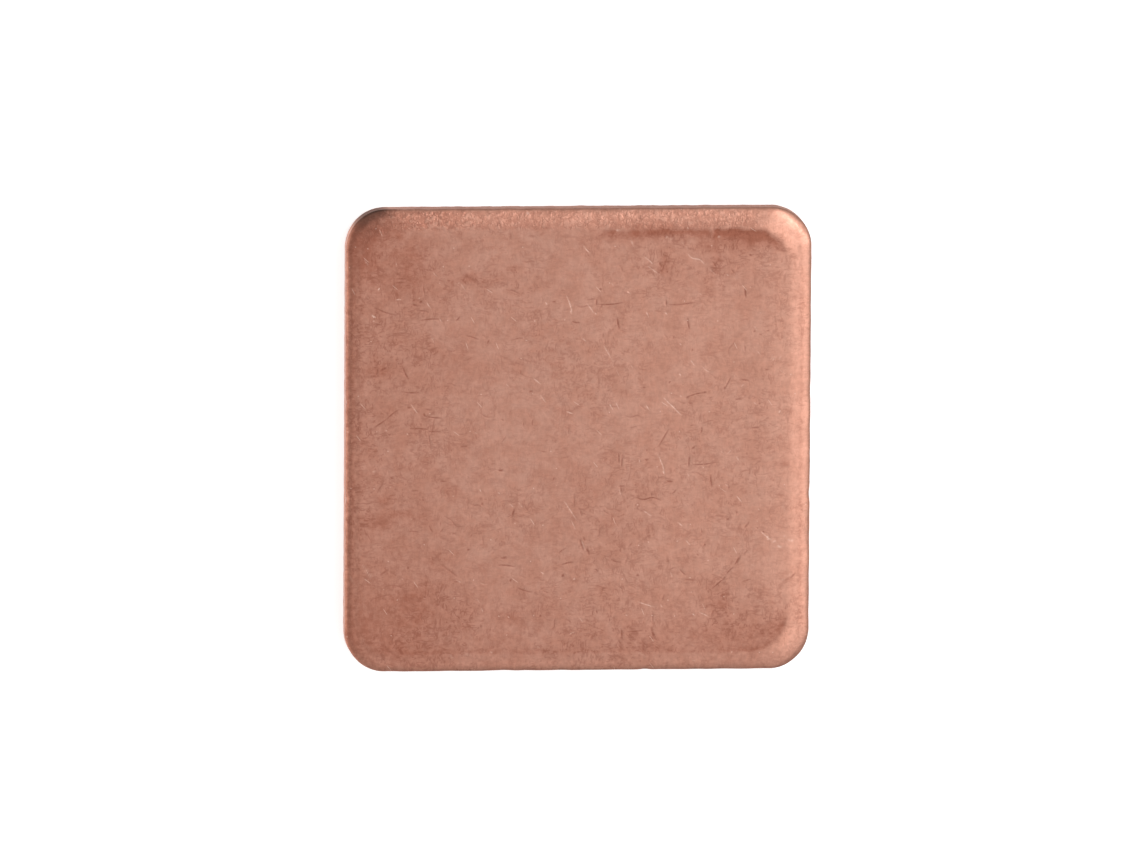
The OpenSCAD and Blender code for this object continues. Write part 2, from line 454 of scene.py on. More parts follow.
@dataclass
class Handling:
    """The marks that handling left on the top face: scratches, hairs of dirt and specks."""

    reach: float
    seed: int = 11

    BARE_HEADINGS = (-48.0, -58.0, -38.0, -68.0, -25.0, 35.0)
    SCATTERS = (
        Scatter(
            Mark.SOILED,
            count=190,
            headings=(0.0, 4.0, -6.0, 90.0, 86.0, 95.0, 20.0, 160.0, 65.0),
            shortest=0.14,
            usual=0.17,
            narrowest=0.028,
            strongest=0.58,
        ),
        Scatter(Mark.BARE, 8, BARE_HEADINGS, 0.10, 0.10, 0.022, 0.45),
        Scatter(Mark.BARE, 18, BARE_HEADINGS, 0.06, 0.02, 0.030, 0.55),
    )
    # The share of the drawn places that are kept in the middle of the face, and how much less
    # it is at the right and at the back, which wore less
    KEPT, LESS_RIGHT, LESS_BACK = 0.55, 0.22, 0.30

    BARE_WIDTH, BARE_DEPTH, BARE_SHOWN = 0.030, 0.002, 0.62
    WAVED = Scratch(2.25, -1.91, -3, 0.95, wave=0.04, half_width=0.036)
    CROOKED = Scratch(
        3.75, 5.86, -28, 0.76, Mark.BARE,
        wave=0.035, half_width=BARE_WIDTH, depth=BARE_DEPTH, strength=0.45,
    )

    # The dirty scratches that stand out: x, y, angle, length, bow, half width, strength
    SOILED = (
        # Back left
        (-5.30, 4.42, -30, 0.20, 0.00, 0.050, 0.9),
        (-5.33, 4.58, 10, 0.12, 0.00, 0.045, 0.8),
        (-5.10, 4.53, 25, 0.20, 0.00, 0.065, 1.0),
        (-5.05, 4.20, -8, 0.45, 0.03, 0.035, 0.8),
        (-4.80, 3.93, 4, 0.75, 0.03, 0.035, 0.9),
        (-3.90, 3.97, 50, 0.25, 0.00, 0.040, 0.8),
        (-6.55, 3.78, -4, 0.40, 0.03, 0.035, 0.9),
        (-6.30, 4.25, -22, 0.75, -0.04, 0.035, 0.6),
        (-5.85, 5.42, 0, 0.13, 0.00, 0.045, 0.7),
        (-5.75, 5.27, 0, 0.36, 0.00, 0.035, 0.7),
        (-5.75, 5.15, 2, 0.40, 0.00, 0.035, 0.7),
        (-4.20, 5.20, 0, 0.15, 0.00, 0.035, 0.6),
        (-3.50, 5.22, -28, 0.65, 0.03, 0.085, 0.4),
        (-3.45, 3.35, -18, 0.50, 0.02, 0.035, 0.6),
        (-2.93, 3.22, 50, 0.17, 0.00, 0.045, 0.8),
        (-5.87, 2.65, 0, 0.14, 0.00, 0.045, 0.7),
        # Back
        (0.67, 4.90, 10, 0.15, 0.00, 0.050, 0.9),
        (1.00, 4.45, 4, 0.95, -0.05, 0.034, 0.9),
        (0.55, 4.47, 85, 0.26, 0.00, 0.038, 0.8),
        (1.27, 3.78, 100, 0.44, 0.02, 0.042, 1.0),
        (-0.10, 3.85, -8, 0.30, -0.03, 0.040, 0.9),
        (-0.82, 4.50, 0, 0.15, 0.00, 0.045, 0.9),
        (-2.25, 6.65, 100, 0.25, 0.00, 0.040, 0.5),
        (-1.55, 6.63, -5, 0.30, 0.00, 0.035, 0.5),
        (0.77, 3.40, 92, 0.20, 0.00, 0.035, 0.5),
        # Back right
        (2.80, 4.45, 87, 0.26, 0.00, 0.038, 0.8),
        (3.30, 4.43, 5, 0.95, -0.04, 0.034, 0.9),
        (3.53, 3.78, 100, 0.46, 0.02, 0.042, 1.0),
        (5.35, 4.75, 97, 0.38, 0.00, 0.045, 0.9),
        (5.52, 5.97, 0, 0.16, 0.00, 0.050, 0.9),
        (5.90, 5.90, 20, 0.12, 0.00, 0.040, 0.7),
        (4.35, 5.68, -60, 0.26, 0.00, 0.038, 0.7),
        (4.95, 5.45, -50, 0.22, 0.00, 0.038, 0.6),
        (2.60, 5.68, -65, 0.22, 0.00, 0.040, 0.7),
        (6.60, 5.20, 88, 0.30, 0.00, 0.038, 0.6),
        (5.65, 3.50, 20, 0.10, 0.00, 0.040, 0.7),
        (5.85, 3.40, -20, 0.12, 0.00, 0.040, 0.7),
        (6.10, 3.50, 10, 0.15, 0.02, 0.035, 0.7),
        (5.35, 2.95, 90, 0.25, 0.00, 0.032, 0.5),
        (3.65, 2.90, 80, 0.12, 0.00, 0.035, 0.6),
        # Left
        (-6.30, 2.35, 30, 0.30, 0.00, 0.045, 0.8),
        (-6.60, 2.10, 10, 0.35, 0.02, 0.045, 0.7),
        (-6.50, 2.25, 70, 0.20, 0.00, 0.040, 0.7),
        (-5.57, 2.22, -65, 0.48, -0.03, 0.040, 0.9),
        (-5.40, 1.60, -2, 0.55, -0.02, 0.038, 0.9),
        (-5.47, 1.10, 0, 0.15, 0.00, 0.045, 0.8),
        (-6.75, 0.38, 5, 0.50, 0.02, 0.032, 0.6),
        (-6.40, 0.58, 34, 0.55, 0.00, 0.035, 0.8),
        (-5.98, 0.88, 38, 0.50, 0.03, 0.035, 0.8),
        (-4.70, 0.79, -7, 0.65, -0.02, 0.035, 0.9),
        (-4.98, 0.86, -60, 0.15, 0.00, 0.050, 0.9),
        (-5.15, 0.40, -3, 0.65, 0.01, 0.036, 1.0),
        (-4.65, 0.33, 0, 0.48, -0.02, 0.032, 0.8),
        (-4.80, 0.00, 98, 0.60, 0.00, 0.030, 0.6),
        (-6.10, 0.22, 0, 0.12, 0.00, 0.040, 0.7),
        (-3.70, -0.16, 3, 0.26, -0.02, 0.042, 0.9),
        (-4.10, -0.30, 0, 0.08, 0.00, 0.040, 0.7),
        (-6.02, -1.18, 10, 0.16, 0.00, 0.055, 0.9),
        (-4.35, -1.30, -4, 0.24, 0.00, 0.038, 0.8),
        (-5.00, -1.90, 0, 0.10, 0.00, 0.050, 0.6),
        (-3.10, -2.05, 80, 0.14, 0.00, 0.045, 0.6),
        (-2.50, -0.96, 0, 0.22, 0.00, 0.050, 1.0),
        # Middle
        (-1.55, 1.60, 0, 0.16, 0.00, 0.050, 0.8),
        (2.10, 1.70, 0, 0.16, 0.00, 0.045, 0.8),
        (2.20, -0.65, 0, 0.16, 0.00, 0.050, 0.9),
        (2.20, -0.35, 80, 0.12, 0.00, 0.040, 0.6),
        (1.30, -0.58, 90, 0.38, 0.00, 0.035, 0.8),
        (1.40, -0.70, 88, 0.52, 0.00, 0.032, 0.8),
        (1.40, -1.50, 0, 0.26, 0.00, 0.040, 0.8),
        (1.38, -1.62, 95, 0.22, 0.00, 0.040, 0.7),
        (1.85, -1.45, 75, 0.12, 0.00, 0.040, 0.6),
        (-2.10, -2.35, 72, 0.36, 0.00, 0.050, 0.9),
        (-0.13, -1.95, 90, 0.45, 0.00, 0.035, 0.6),
        (-0.80, -1.25, 60, 0.20, 0.00, 0.040, 0.6),
        # Right
        (3.80, 1.45, 13, 0.62, 0.03, 0.032, 0.9),
        (3.50, 1.37, 30, 0.12, 0.00, 0.045, 0.9),
        (4.07, 1.53, 10, 0.12, 0.00, 0.045, 0.9),
        (3.60, 1.18, -8, 0.20, 0.00, 0.040, 0.8),
        (5.15, 1.30, 5, 0.25, 0.00, 0.042, 0.9),
        (4.25, 1.35, -5, 0.14, 0.00, 0.035, 0.6),
        (5.35, 1.92, -7, 0.36, 0.00, 0.050, 0.7),
        (4.80, 1.82, 62, 0.52, 0.00, 0.034, 0.7),
        (4.70, 1.66, 70, 0.14, 0.00, 0.045, 0.8),
        (2.92, 1.87, 40, 0.12, 0.00, 0.045, 0.8),
        (6.07, 2.25, 0, 0.16, 0.00, 0.040, 0.8),
        (5.83, 1.15, 30, 0.10, 0.00, 0.045, 0.7),
        (5.70, 0.37, 4, 0.36, 0.00, 0.050, 0.7),
        (3.97, 0.31, 85, 0.24, 0.00, 0.045, 0.9),
        (4.20, 0.56, 14, 0.45, 0.03, 0.030, 0.5),
        (2.74, 0.05, 60, 0.72, 0.00, 0.036, 0.8),
        (3.70, -0.27, 25, 0.20, 0.00, 0.050, 0.9),
        (3.72, -0.45, 10, 0.15, 0.00, 0.040, 0.7),
        (3.57, -0.70, 86, 0.42, 0.00, 0.042, 0.9),
        (4.05, -0.77, 5, 0.88, -0.04, 0.032, 0.9),
        (4.30, -1.35, 98, 0.45, 0.02, 0.042, 0.9),
        (2.95, -1.33, -3, 0.27, -0.03, 0.045, 0.9),
        (3.10, -1.70, 45, 0.26, 0.00, 0.036, 0.6),
        (6.50, -1.73, 0, 0.13, 0.00, 0.040, 0.7),
        (6.20, -0.55, 0, 0.08, 0.00, 0.045, 0.6),
        # Front left
        (-4.75, -2.85, -65, 0.28, 0.00, 0.036, 0.6),
        (-4.40, -2.90, 50, 0.22, 0.00, 0.036, 0.6),
        (-4.00, -3.00, 0, 0.16, 0.00, 0.040, 0.7),
        (-3.53, -3.53, 0, 0.14, 0.00, 0.060, 0.8),
        (-5.48, -4.10, 80, 0.12, 0.00, 0.055, 0.9),
        (-6.25, -4.25, 35, 0.36, 0.00, 0.045, 0.6),
        (-4.15, -4.20, -38, 0.80, 0.00, 0.050, 0.4),
        (-6.40, -5.10, 18, 0.90, 0.05, 0.032, 0.5),
        (-6.00, -6.84, -35, 0.62, -0.03, 0.050, 0.6),
        (-3.12, -6.02, 80, 0.14, 0.00, 0.050, 0.7),
        (-4.85, -6.86, -20, 0.18, 0.00, 0.045, 0.6),
        # Front
        (0.12, -3.40, -72, 0.46, 0.00, 0.055, 0.7),
        (0.32, -3.60, -65, 0.30, 0.00, 0.060, 0.9),
        (0.20, -3.20, -50, 0.16, 0.00, 0.050, 0.7),
        (-0.50, -3.60, 35, 0.32, 0.03, 0.034, 0.6),
        (-0.35, -4.02, 14, 0.44, 0.03, 0.036, 0.9),
        (-0.48, -4.39, 90, 0.13, 0.00, 0.060, 1.0),
        (1.22, -3.90, -20, 0.42, -0.05, 0.032, 0.7),
        (-2.40, -3.80, 3, 0.24, 0.00, 0.055, 0.9),
        (-2.30, -4.08, -6, 0.62, 0.03, 0.036, 0.8),
        (-2.17, -4.53, 60, 0.16, 0.00, 0.060, 0.9),
        (-1.72, -4.84, -18, 0.56, -0.03, 0.040, 0.8),
        (1.93, -4.40, 0, 0.14, 0.00, 0.055, 0.9),
        (0.58, -4.25, -45, 0.18, 0.04, 0.036, 0.6),
        (-1.20, -5.70, 0, 0.12, 0.00, 0.060, 0.9),
        (0.62, -5.58, -50, 0.13, 0.00, 0.045, 0.8),
        (1.43, -6.33, 92, 0.42, 0.00, 0.048, 0.9),
        (1.85, -6.22, 4, 0.52, -0.01, 0.034, 0.9),
        (1.38, -6.65, 97, 0.42, 0.00, 0.060, 0.8),
        (2.15, -6.73, 93, 0.58, 0.00, 0.095, 0.8),
        (2.46, -6.30, -72, 0.48, -0.02, 0.060, 0.9),
        (2.43, -5.80, 92, 0.50, 0.00, 0.036, 0.5),
        (0.48, -6.40, 70, 0.20, 0.00, 0.060, 0.6),
        # Front right
        (4.83, -2.60, 0, 0.14, 0.00, 0.055, 0.9),
        (5.45, -2.80, 50, 0.28, 0.00, 0.045, 0.7),
        (5.80, -2.90, 0, 0.08, 0.00, 0.040, 0.7),
        (6.00, -3.02, 0, 0.11, 0.00, 0.050, 0.9),
        (4.10, -3.42, 80, 0.10, 0.00, 0.045, 0.8),
        (3.87, -3.75, 0, 0.11, 0.00, 0.050, 0.8),
        (2.90, -3.95, 0, 0.12, 0.00, 0.050, 0.6),
        (3.40, -4.30, -45, 0.32, -0.03, 0.032, 0.7),
        (3.65, -4.55, -5, 0.46, -0.02, 0.032, 0.8),
        (4.55, -4.68, 40, 0.60, 0.00, 0.036, 0.9),
        (4.72, -4.52, 45, 0.16, 0.00, 0.045, 0.8),
        (4.90, -4.30, 47, 0.42, 0.02, 0.034, 0.8),
        (5.15, -3.95, 62, 0.38, 0.00, 0.038, 0.9),
        (5.42, -3.68, 45, 0.30, 0.00, 0.030, 0.5),
        (5.45, -4.60, 20, 0.32, 0.00, 0.030, 0.6),
        (6.85, -4.53, 37, 0.64, 0.00, 0.036, 0.9),
        (4.40, -5.65, 60, 0.36, 0.03, 0.040, 0.6),
        (5.00, -5.25, 80, 0.16, 0.00, 0.040, 0.6),
        (5.98, -6.28, 88, 0.32, 0.00, 0.050, 0.9),
        (6.15, -6.60, -40, 0.22, 0.00, 0.035, 0.6),
        (6.62, -6.00, 80, 0.25, 0.00, 0.045, 0.6),
        (3.02, -6.88, 0, 0.16, 0.00, 0.055, 0.7),
    )

    # The bright scratches that stand out: x, y, angle, length, bow, strength
    BARE = (
        # Back left
        (-6.45, 4.95, 60, 0.13, 0.00, 1.4),
        (-6.80, 4.67, 0, 0.08, 0.00, 0.6),
        (-5.83, 4.60, 8, 0.20, 0.00, 1.5),
        (-6.62, 4.06, -50, 0.20, 0.00, 1.6),
        (-4.85, 4.40, -55, 0.28, 0.00, 0.8),
        (-4.65, 5.40, -50, 0.25, 0.00, 0.4),
        (-3.75, 5.00, -55, 0.32, 0.00, 0.4),
        (-6.90, 5.80, -45, 0.30, 0.03, 0.5),
        (-5.90, 5.75, -75, 0.20, 0.00, 0.5),
        (-4.72, 3.30, -65, 0.35, 0.00, 0.3),
        # Back
        (0.20, 6.20, -48, 0.44, 0.00, 0.9),
        (2.22, 5.80, -42, 0.40, 0.03, 0.9),
        (2.38, 5.50, -36, 0.55, 0.00, 0.6),
        (0.85, 6.38, -50, 0.40, 0.00, 0.4),
        (1.70, 6.38, -50, 0.40, 0.00, 0.5),
        (-0.33, 4.40, -72, 0.66, 0.03, 0.9),
        (-0.26, 4.15, -65, 0.14, 0.00, 1.0),
        (0.35, 4.27, -55, 0.50, 0.02, 0.6),
        (0.53, 4.10, -40, 0.10, 0.00, 0.8),
        (-1.07, 4.45, -60, 0.14, 0.00, 1.0),
        (1.07, 5.05, -50, 0.15, 0.00, 0.6),
        (1.60, 4.77, -30, 0.16, 0.00, 0.7),
        (2.20, 4.07, -65, 0.24, 0.00, 1.0),
        (0.17, 3.25, -45, 0.18, 0.00, 0.9),
        (0.95, 2.80, -60, 0.70, 0.00, 0.6),
        (1.23, 6.80, 0, 0.10, 0.00, 1.0),
        (-1.70, 3.25, 0, 0.09, 0.00, 0.6),
        (-2.36, 7.36, -75, 0.18, 0.00, 1.0),
        (-1.66, 7.34, -60, 0.19, 0.00, 1.0),
        # Back right
        (2.85, 6.55, -25, 0.30, 0.00, 0.6),
        (3.40, 6.30, -55, 0.36, 0.00, 0.4),
        (4.50, 6.57, 0, 0.10, 0.00, 0.8),
        (4.77, 5.33, -40, 0.14, 0.00, 0.6),
        (4.30, 5.42, -45, 0.30, 0.00, 0.4),
        (2.80, 4.10, -45, 0.17, 0.00, 1.0),
        (3.90, 4.72, -25, 0.16, 0.00, 0.5),
        (5.85, 4.10, 0, 0.10, 0.00, 0.5),
        (5.70, 3.60, -50, 0.20, 0.00, 0.4),
        (3.27, 3.10, -45, 0.12, 0.00, 0.8),
        (3.67, 2.48, -55, 0.24, 0.00, 0.9),
        (5.00, 2.50, 0, 0.09, 0.00, 0.7),
        (5.80, 2.80, -60, 0.18, 0.00, 0.6),
        (6.27, 2.63, -50, 0.22, 0.00, 0.7),
        (6.50, 2.60, -45, 0.15, 0.00, 0.6),
        # Left
        (-5.30, 1.05, -55, 0.42, 0.00, 0.8),
        (-6.25, -0.40, -70, 0.14, 0.00, 0.5),
        (-3.30, 0.25, -15, 0.15, 0.00, 0.5),
        (-3.15, -1.62, -60, 0.14, 0.00, 0.9),
        (-2.55, -1.70, -40, 0.16, 0.00, 0.6),
        # Middle
        (-2.30, 1.80, -60, 0.14, 0.00, 1.0),
        (-1.35, 1.93, -40, 0.36, 0.00, 0.7),
        (-1.15, 1.35, -55, 0.36, 0.00, 0.5),
        (-0.30, 0.90, -22, 0.26, 0.00, 1.0),
        (1.05, 1.08, -55, 0.24, 0.00, 1.0),
        (2.22, 1.05, -60, 0.27, 0.00, 1.0),
        (1.70, 2.40, -55, 0.20, 0.00, 0.4),
        (1.10, 2.40, -75, 0.16, 0.00, 0.5),
        (1.97, -0.69, -60, 0.13, 0.00, 1.0),
        (2.25, -2.40, -35, 0.32, 0.00, 0.9),
        (-0.25, -2.28, -57, 0.78, 0.00, 0.7),
        (-1.85, -2.10, -50, 0.26, 0.00, 0.5),
        (-2.15, -2.10, -45, 0.22, 0.00, 0.5),
        (1.35, -1.70, -70, 0.26, 0.00, 0.5),
        # Right
        (3.02, 1.08, -45, 0.92, 0.00, 1.0),
        (3.27, 2.10, -50, 0.12, 0.00, 1.0),
        (3.30, 1.40, -50, 0.12, 0.00, 0.6),
        (5.28, 1.75, 40, 0.16, 0.00, 0.6),
        (5.70, 1.15, -45, 0.16, 0.00, 0.6),
        (6.50, 0.87, -50, 0.13, 0.00, 0.9),
        (6.40, 0.40, -70, 0.20, 0.00, 0.4),
        (2.67, -0.80, -70, 0.74, 0.03, 0.9),
        (2.76, -1.08, -65, 0.16, 0.00, 1.0),
        (5.15, -0.65, -60, 0.22, 0.00, 0.9),
        (4.65, -0.42, -40, 0.16, 0.00, 0.5),
        (3.55, -1.15, -60, 0.14, 0.00, 0.7),
        (4.80, -1.50, -30, 0.17, 0.00, 0.7),
        (5.20, -1.95, -50, 0.30, 0.00, 1.0),
        (5.85, -2.30, -60, 0.14, 0.00, 0.6),
        (6.65, -2.25, -55, 0.36, 0.00, 0.6),
        # Front left
        (-6.82, -4.20, -52, 0.56, 0.00, 0.7),
        (-7.28, -4.50, -58, 0.36, 0.00, 0.5),
        (-3.85, -4.55, -30, 0.22, 0.00, 0.7),
        (-3.08, -5.50, -60, 0.17, 0.00, 0.7),
        (-3.20, -5.20, -45, 0.20, 0.00, 0.4),
        (-4.92, -6.80, -50, 0.17, 0.00, 0.6),
        (-4.07, -7.00, -60, 0.14, 0.00, 0.7),
        (-4.95, -5.10, -40, 0.09, 0.00, 0.6),
        # Front
        (0.17, -3.40, -70, 0.36, 0.00, 0.6),
        (-0.15, -2.75, -65, 0.36, 0.00, 0.5),
        (-1.15, -4.30, -40, 0.17, 0.00, 0.9),
        (2.22, -5.36, -18, 0.60, 0.00, 0.9),
        (1.58, -5.70, 0, 0.10, 0.00, 0.7),
        (0.12, -5.85, -55, 0.22, 0.00, 0.7),
        (-1.25, -6.73, 0, 0.10, 0.00, 0.6),
        (2.07, -6.97, -50, 0.18, 0.00, 0.7),
        (2.35, -6.88, -45, 0.15, 0.00, 0.5),
        # Front right
        (3.30, -2.75, -40, 0.27, 0.00, 0.9),
        (3.55, -3.35, -50, 0.28, 0.00, 0.6),
        (6.12, -3.20, -42, 0.62, 0.00, 1.1),
        (6.50, -3.50, -20, 0.14, 0.00, 1.0),
        (6.80, -3.25, -28, 0.42, 0.00, 1.0),
        (6.37, -3.33, -40, 0.12, 0.00, 0.6),
        (6.72, -4.50, 35, 0.45, 0.00, 0.7),
        (3.75, -5.70, -50, 0.13, 0.00, 0.9),
        (4.10, -5.70, -25, 0.46, 0.00, 0.6),
        (2.70, -5.40, -50, 0.17, 0.00, 0.7),
        (3.03, -4.40, -70, 0.22, 0.00, 0.5),
        (5.65, -4.10, 0, 0.12, 0.00, 0.5),
        (3.75, -7.20, 0, 0.10, 0.00, 0.6),
    )

    def scratches(self) -> list[Scratch]:
        """The plainest scratches, where they lie, and then the many small ones, scattered."""
        return [self.WAVED, *self._soiled(), self.CROOKED, *self._bare(), *self._scattered()]

    def _soiled(self) -> list[Scratch]:
        """Makes the dirty scratches that stand out, each in its own place.

        Returns:
            The scratches.
        """
        return [
            Scratch(x, y, angle, length, Mark.SOILED, bow, half_width=wide, strength=strength)
            for x, y, angle, length, bow, wide, strength in self.SOILED
        ]

    def _bare(self) -> list[Scratch]:
        """Makes the bright scratches that stand out, each in its own place.

        Returns:
            The scratches.
        """
        return [
            Scratch(
                x, y, angle, length, Mark.BARE, bow,
                half_width=self.BARE_WIDTH, depth=self.BARE_DEPTH, strength=self.BARE_SHOWN * strength,
            )
            for x, y, angle, length, bow, strength in self.BARE
        ]

    def _scattered(self) -> list[Scratch]:
        """Draws the small scratches: soiled ones mostly lie along the sides, bare ones slant.

        Returns:
            The scratches, one kind after the other.
        """
        rng = np.random.default_rng(self.seed)

        def somewhere() -> tuple[float, float]:
            """Draws a place on the face, more often where it wore more.

            Returns:
                The place along X, and along Y.
            """
            while True:
                x, y = rng.uniform(-self.reach, self.reach, 2)
                right, back = x / self.reach, y / self.reach
                if rng.uniform() < self.KEPT - self.LESS_RIGHT * right - self.LESS_BACK * back:
                    return float(x), float(y)

        return [kind.draw(rng, somewhere) for kind in self.SCATTERS for _ in range(kind.count)]


@dataclass
class Tarnish:
    """Where the sheet is stained, sooty and rubbed bright, and where painted shade, painted dark
    reflection and painted highlights darken and brighten it, each from 0 to 1.
    """

    form: SheetForm
    tide: Ripple
    fleck: Ripple

    # The stains: patches, and ramps towards the left and the front. The ramps that darken towards the
    # left are partly stain and partly painted shade.
    TIDE, FLECK = 0.22, 0.16  # how unevenly they lie
    DARKEST, KNEE = 0.90, 4  # how brown they can get together, and how suddenly they stop there
    LEFT = (Ramp(0.30, -2.6, -7.0), Ramp(0.37, -6.85, -7.3))
    FRONT = (Ramp(0.22, -3.0, -6.8),)
    STAINS = (
        # Along the stripper's line at the back
        Patch(4.50, 6.45, 1.90, 0.30, 0.45),
        Patch(1.30, 6.55, 0.90, 0.22, 0.30),
        Patch(2.60, 6.65, 1.50, 0.28, 0.14),
        Patch(2.80, 6.92, 1.70, 0.10, 0.28),
        Patch(0.95, 6.72, 0.17, 0.12, 0.45),
        Patch(1.83, 6.74, 0.11, 0.14, 0.45),
        Patch(2.30, 6.75, 0.15, 0.12, 0.30),
        Patch(6.20, 6.30, 0.45, 0.35, 0.28),
        Patch(2.72, 5.60, 0.16, 0.42, 0.50),
        Patch(4.40, 5.95, 0.16, 0.55, 0.42),
        Patch(5.00, 5.50, 1.30, 0.90, 0.20),
        Patch(2.60, 5.80, 1.60, 0.90, 0.12),
        # Along the line at the front
        Patch(6.15, -6.15, 0.50, 0.60, 0.08),
        Patch(4.90, -6.30, 1.50, 0.40, 0.40),
        Patch(4.70, -5.25, 0.30, 0.45, 0.32),
        Patch(4.40, -5.30, 0.90, 0.60, 0.12),
        Patch(2.10, -6.50, 0.90, 0.40, 0.16),
        # Front left
        Patch(-5.30, -5.45, 0.45, 0.70, 0.46),
        Patch(-5.75, -5.30, 0.40, 0.40, 0.24),
        Patch(-5.70, -5.90, 1.30, 1.00, 0.20),
        Patch(-4.95, -4.60, 0.10, 0.35, 0.36),
        Patch(-6.00, -6.80, 0.60, 0.28, 0.36),
        Patch(-6.15, -6.40, 0.18, 0.18, 0.20),
        Patch(-5.20, -6.50, 0.28, 0.12, 0.22),
        Patch(-7.00, -6.10, 0.40, 0.80, 0.46),
        Patch(-4.90, -3.90, 1.20, 1.60, 0.16),
        # Left
        Patch(-6.55, -2.65, 0.45, 0.28, 0.48),
        Patch(-5.15, -2.60, 0.40, 0.40, 0.20),
        Patch(-5.75, -2.35, 0.35, 0.12, 0.32),
        Patch(-6.30, -1.93, 0.20, 0.14, 0.42),
        Patch(-4.05, -1.60, 0.25, 0.14, 0.40),
        Patch(-6.45, 2.28, 0.34, 0.22, 0.42),
        Patch(-4.10, 2.55, 1.20, 0.90, 0.15),
        # Back left
        Patch(-5.20, 6.05, 0.80, 0.45, 0.34),
        Patch(-5.75, 5.25, 1.20, 0.85, 0.40),
        Patch(-5.85, 6.68, 0.17, 0.13, 0.60),
        Patch(-3.50, 5.25, 0.50, 0.20, 0.38),
        Patch(-2.50, 5.18, 0.40, 0.16, 0.28),
        Patch(-2.10, 5.60, 0.30, 0.09, 0.26),
        # These two darken the back left corner: partly stain, partly painted shade
        Patch(-7.00, 6.25, 0.50, 0.80, 0.80),
        Patch(-6.60, 6.75, 0.55, 0.45, 0.60),
        # Elsewhere
        Patch(-1.10, 3.20, 0.80, 0.90, 0.16),
        Patch(-2.70, 5.00, 1.20, 0.70, 0.11),
        Patch(-3.20, -5.70, 2.00, 0.80, 0.12),
        Patch(0.10, 1.70, 0.80, 0.70, -0.12),
        Patch(-0.10, -1.60, 0.90, 0.90, 0.12),
        Patch(-0.90, -3.10, 1.50, 0.90, 0.13),
        Patch(-2.05, -5.75, 0.32, 0.22, 0.30),
        Patch(1.00, -4.80, 0.26, 0.12, 0.28),
        Patch(0.90, -0.60, 0.20, 0.30, 0.22),
        Patch(1.75, -2.55, 1.00, 1.50, 0.15),
        Patch(6.70, -0.82, 0.20, 0.10, 0.42),
    )

    # Painted shade in the back left corner, on the face beside the roll, and how far it goes up the
    # roll there
    GRIME = (Patch(-7.03, 6.36, 0.33, 0.64, 0.32), Patch(-6.74, 6.82, 0.52, 0.36, 0.32))
    CORNER_X, CORNER_Y = (-5.65, -6.55), (6.70, 7.30)
    CORNER_SOOT = (Ramp(0.20, -0.1, 0.6), Ramp(0.45, 0.55, 0.85))

    # Where the face is rubbed and brighter towards the right, partly as painted light, and where the
    # two corners on the right carry a painted highlight
    FACE_RUB = (Ramp(0.14, -2.0, 5.5), Ramp(0.31, 5.6, 7.1))
    # A painted highlight on the two corners on the right
    BURNISH = (
        Patch(6.72, 6.62, 0.78, 0.80, 0.76),
        Patch(6.22, 7.05, 0.50, 0.45, 0.28),
        Patch(6.82, -6.48, 0.66, 0.72, 0.66),
    )
    POLISH = 1.4  # how much brighter the painted highlight shows as rub
    DULL_BACK = Ramp(0.18, 1.5, -5.0)  # how much duller the back's roll gets to the left
    BACK_FROM = (6.2, 6.8)  # where the back's roll comes in along Y

    # Where each thing comes in and goes out across the roll
    ROLLED = (-0.05, 0.75)
    BURNISHED = (-0.06, 0.12)
    BROWNED = (0.25, 0.70)
    # The rim's soot, with the painted dark reflection along the outline
    SOOTED = (0.89, 1.0)
    # Where the pale tint of the corners' painted highlight comes in and goes out
    BARED, COVERED = (0.2, 0.6), (1.0, 0.85)
    RIM = Ramp(0.35, 0.85, 1.0)  # how much of the brown has gone at the rim

    WIPED = 0.7  # how much of the stain a full rub takes off
    LINE_STAIN, LINE_SOIL, LINE_SOOT = 0.92, 0.04, 0.04  # what the stripper's line shows
    SEAM, SEAM_PAST, SEAM_HALF = 0.22, 0.04, 0.10  # a painted shade along a seam just past the flank's end, between the right roll's two highlights
    SEAM_FROM = (6.4, 6.9)  # it is on the right side only
    CORNER_LEAD = 0.13  # how much earlier the dark rim, soot and painted dark reflection, comes in round the corners on the right
    # How much pale bare colour the corners' painted highlight has
    BURNISH_BARE = 0.10

    def stain(self, x: Array, y: Array) -> Array:
        """Finds how brown the face is: stains, with painted shade towards the left and at the back
        left corner.

        Args:
            x: The points' places along X.
            y: Their places along Y.

        Returns:
            The stain at each point.
        """
        uneven = 1.0 + self.TIDE * self.tide(x, y) + self.FLECK * self.fleck(x, y)
        stain = total(self.STAINS, x, y) * uneven
        stain = np.maximum(stain + total(self.LEFT, x) + total(self.FRONT, y), 0.0)
        return stain / (1.0 + (stain / self.DARKEST) ** self.KNEE) ** (1.0 / self.KNEE)

    def grime(self, x: Array, y: Array) -> Array:
        """How dark the painted shade in the back left corner makes the face."""
        return total(self.GRIME, x, y)

    def face_rub(self, x: Array) -> Array:
        """How far the face is brightened, partly rub and partly painted light: a little on the right
        half, more beside the edge.
        """
        return total(self.FACE_RUB, x)

    def corner_soot(self, f: float) -> Array:
        """How dark the painted shade makes each station at f: only at the back left corner."""
        x, y = self.form.ring(1.0).T
        return smooth(x, *self.CORNER_X) * smooth(y, *self.CORNER_Y) * total(self.CORNER_SOOT, f)

    def _roll_rub(self, f: float, x: Array, y: Array, burnish: Array) -> Array:
        """Finds how bright a loop is rubbed, partly as painted light: as the face is, then as the roll
        is.

        Args:
            f: The place across the roll.
            x: The stations' places along X.
            y: Their places along Y.
            burnish: How much painted highlight of the corners on the right lies on each.

        Returns:
            The rub at each station.
        """
        rolled = smooth(f, *self.ROLLED)
        roll = self.form.along("rub") * (1.0 - self.DULL_BACK(x) * smooth(y, *self.BACK_FROM))
        rub = self.face_rub(x) * (1.0 - rolled) + roll * rolled
        return np.maximum(rub, np.minimum(burnish * self.POLISH, 1.0))

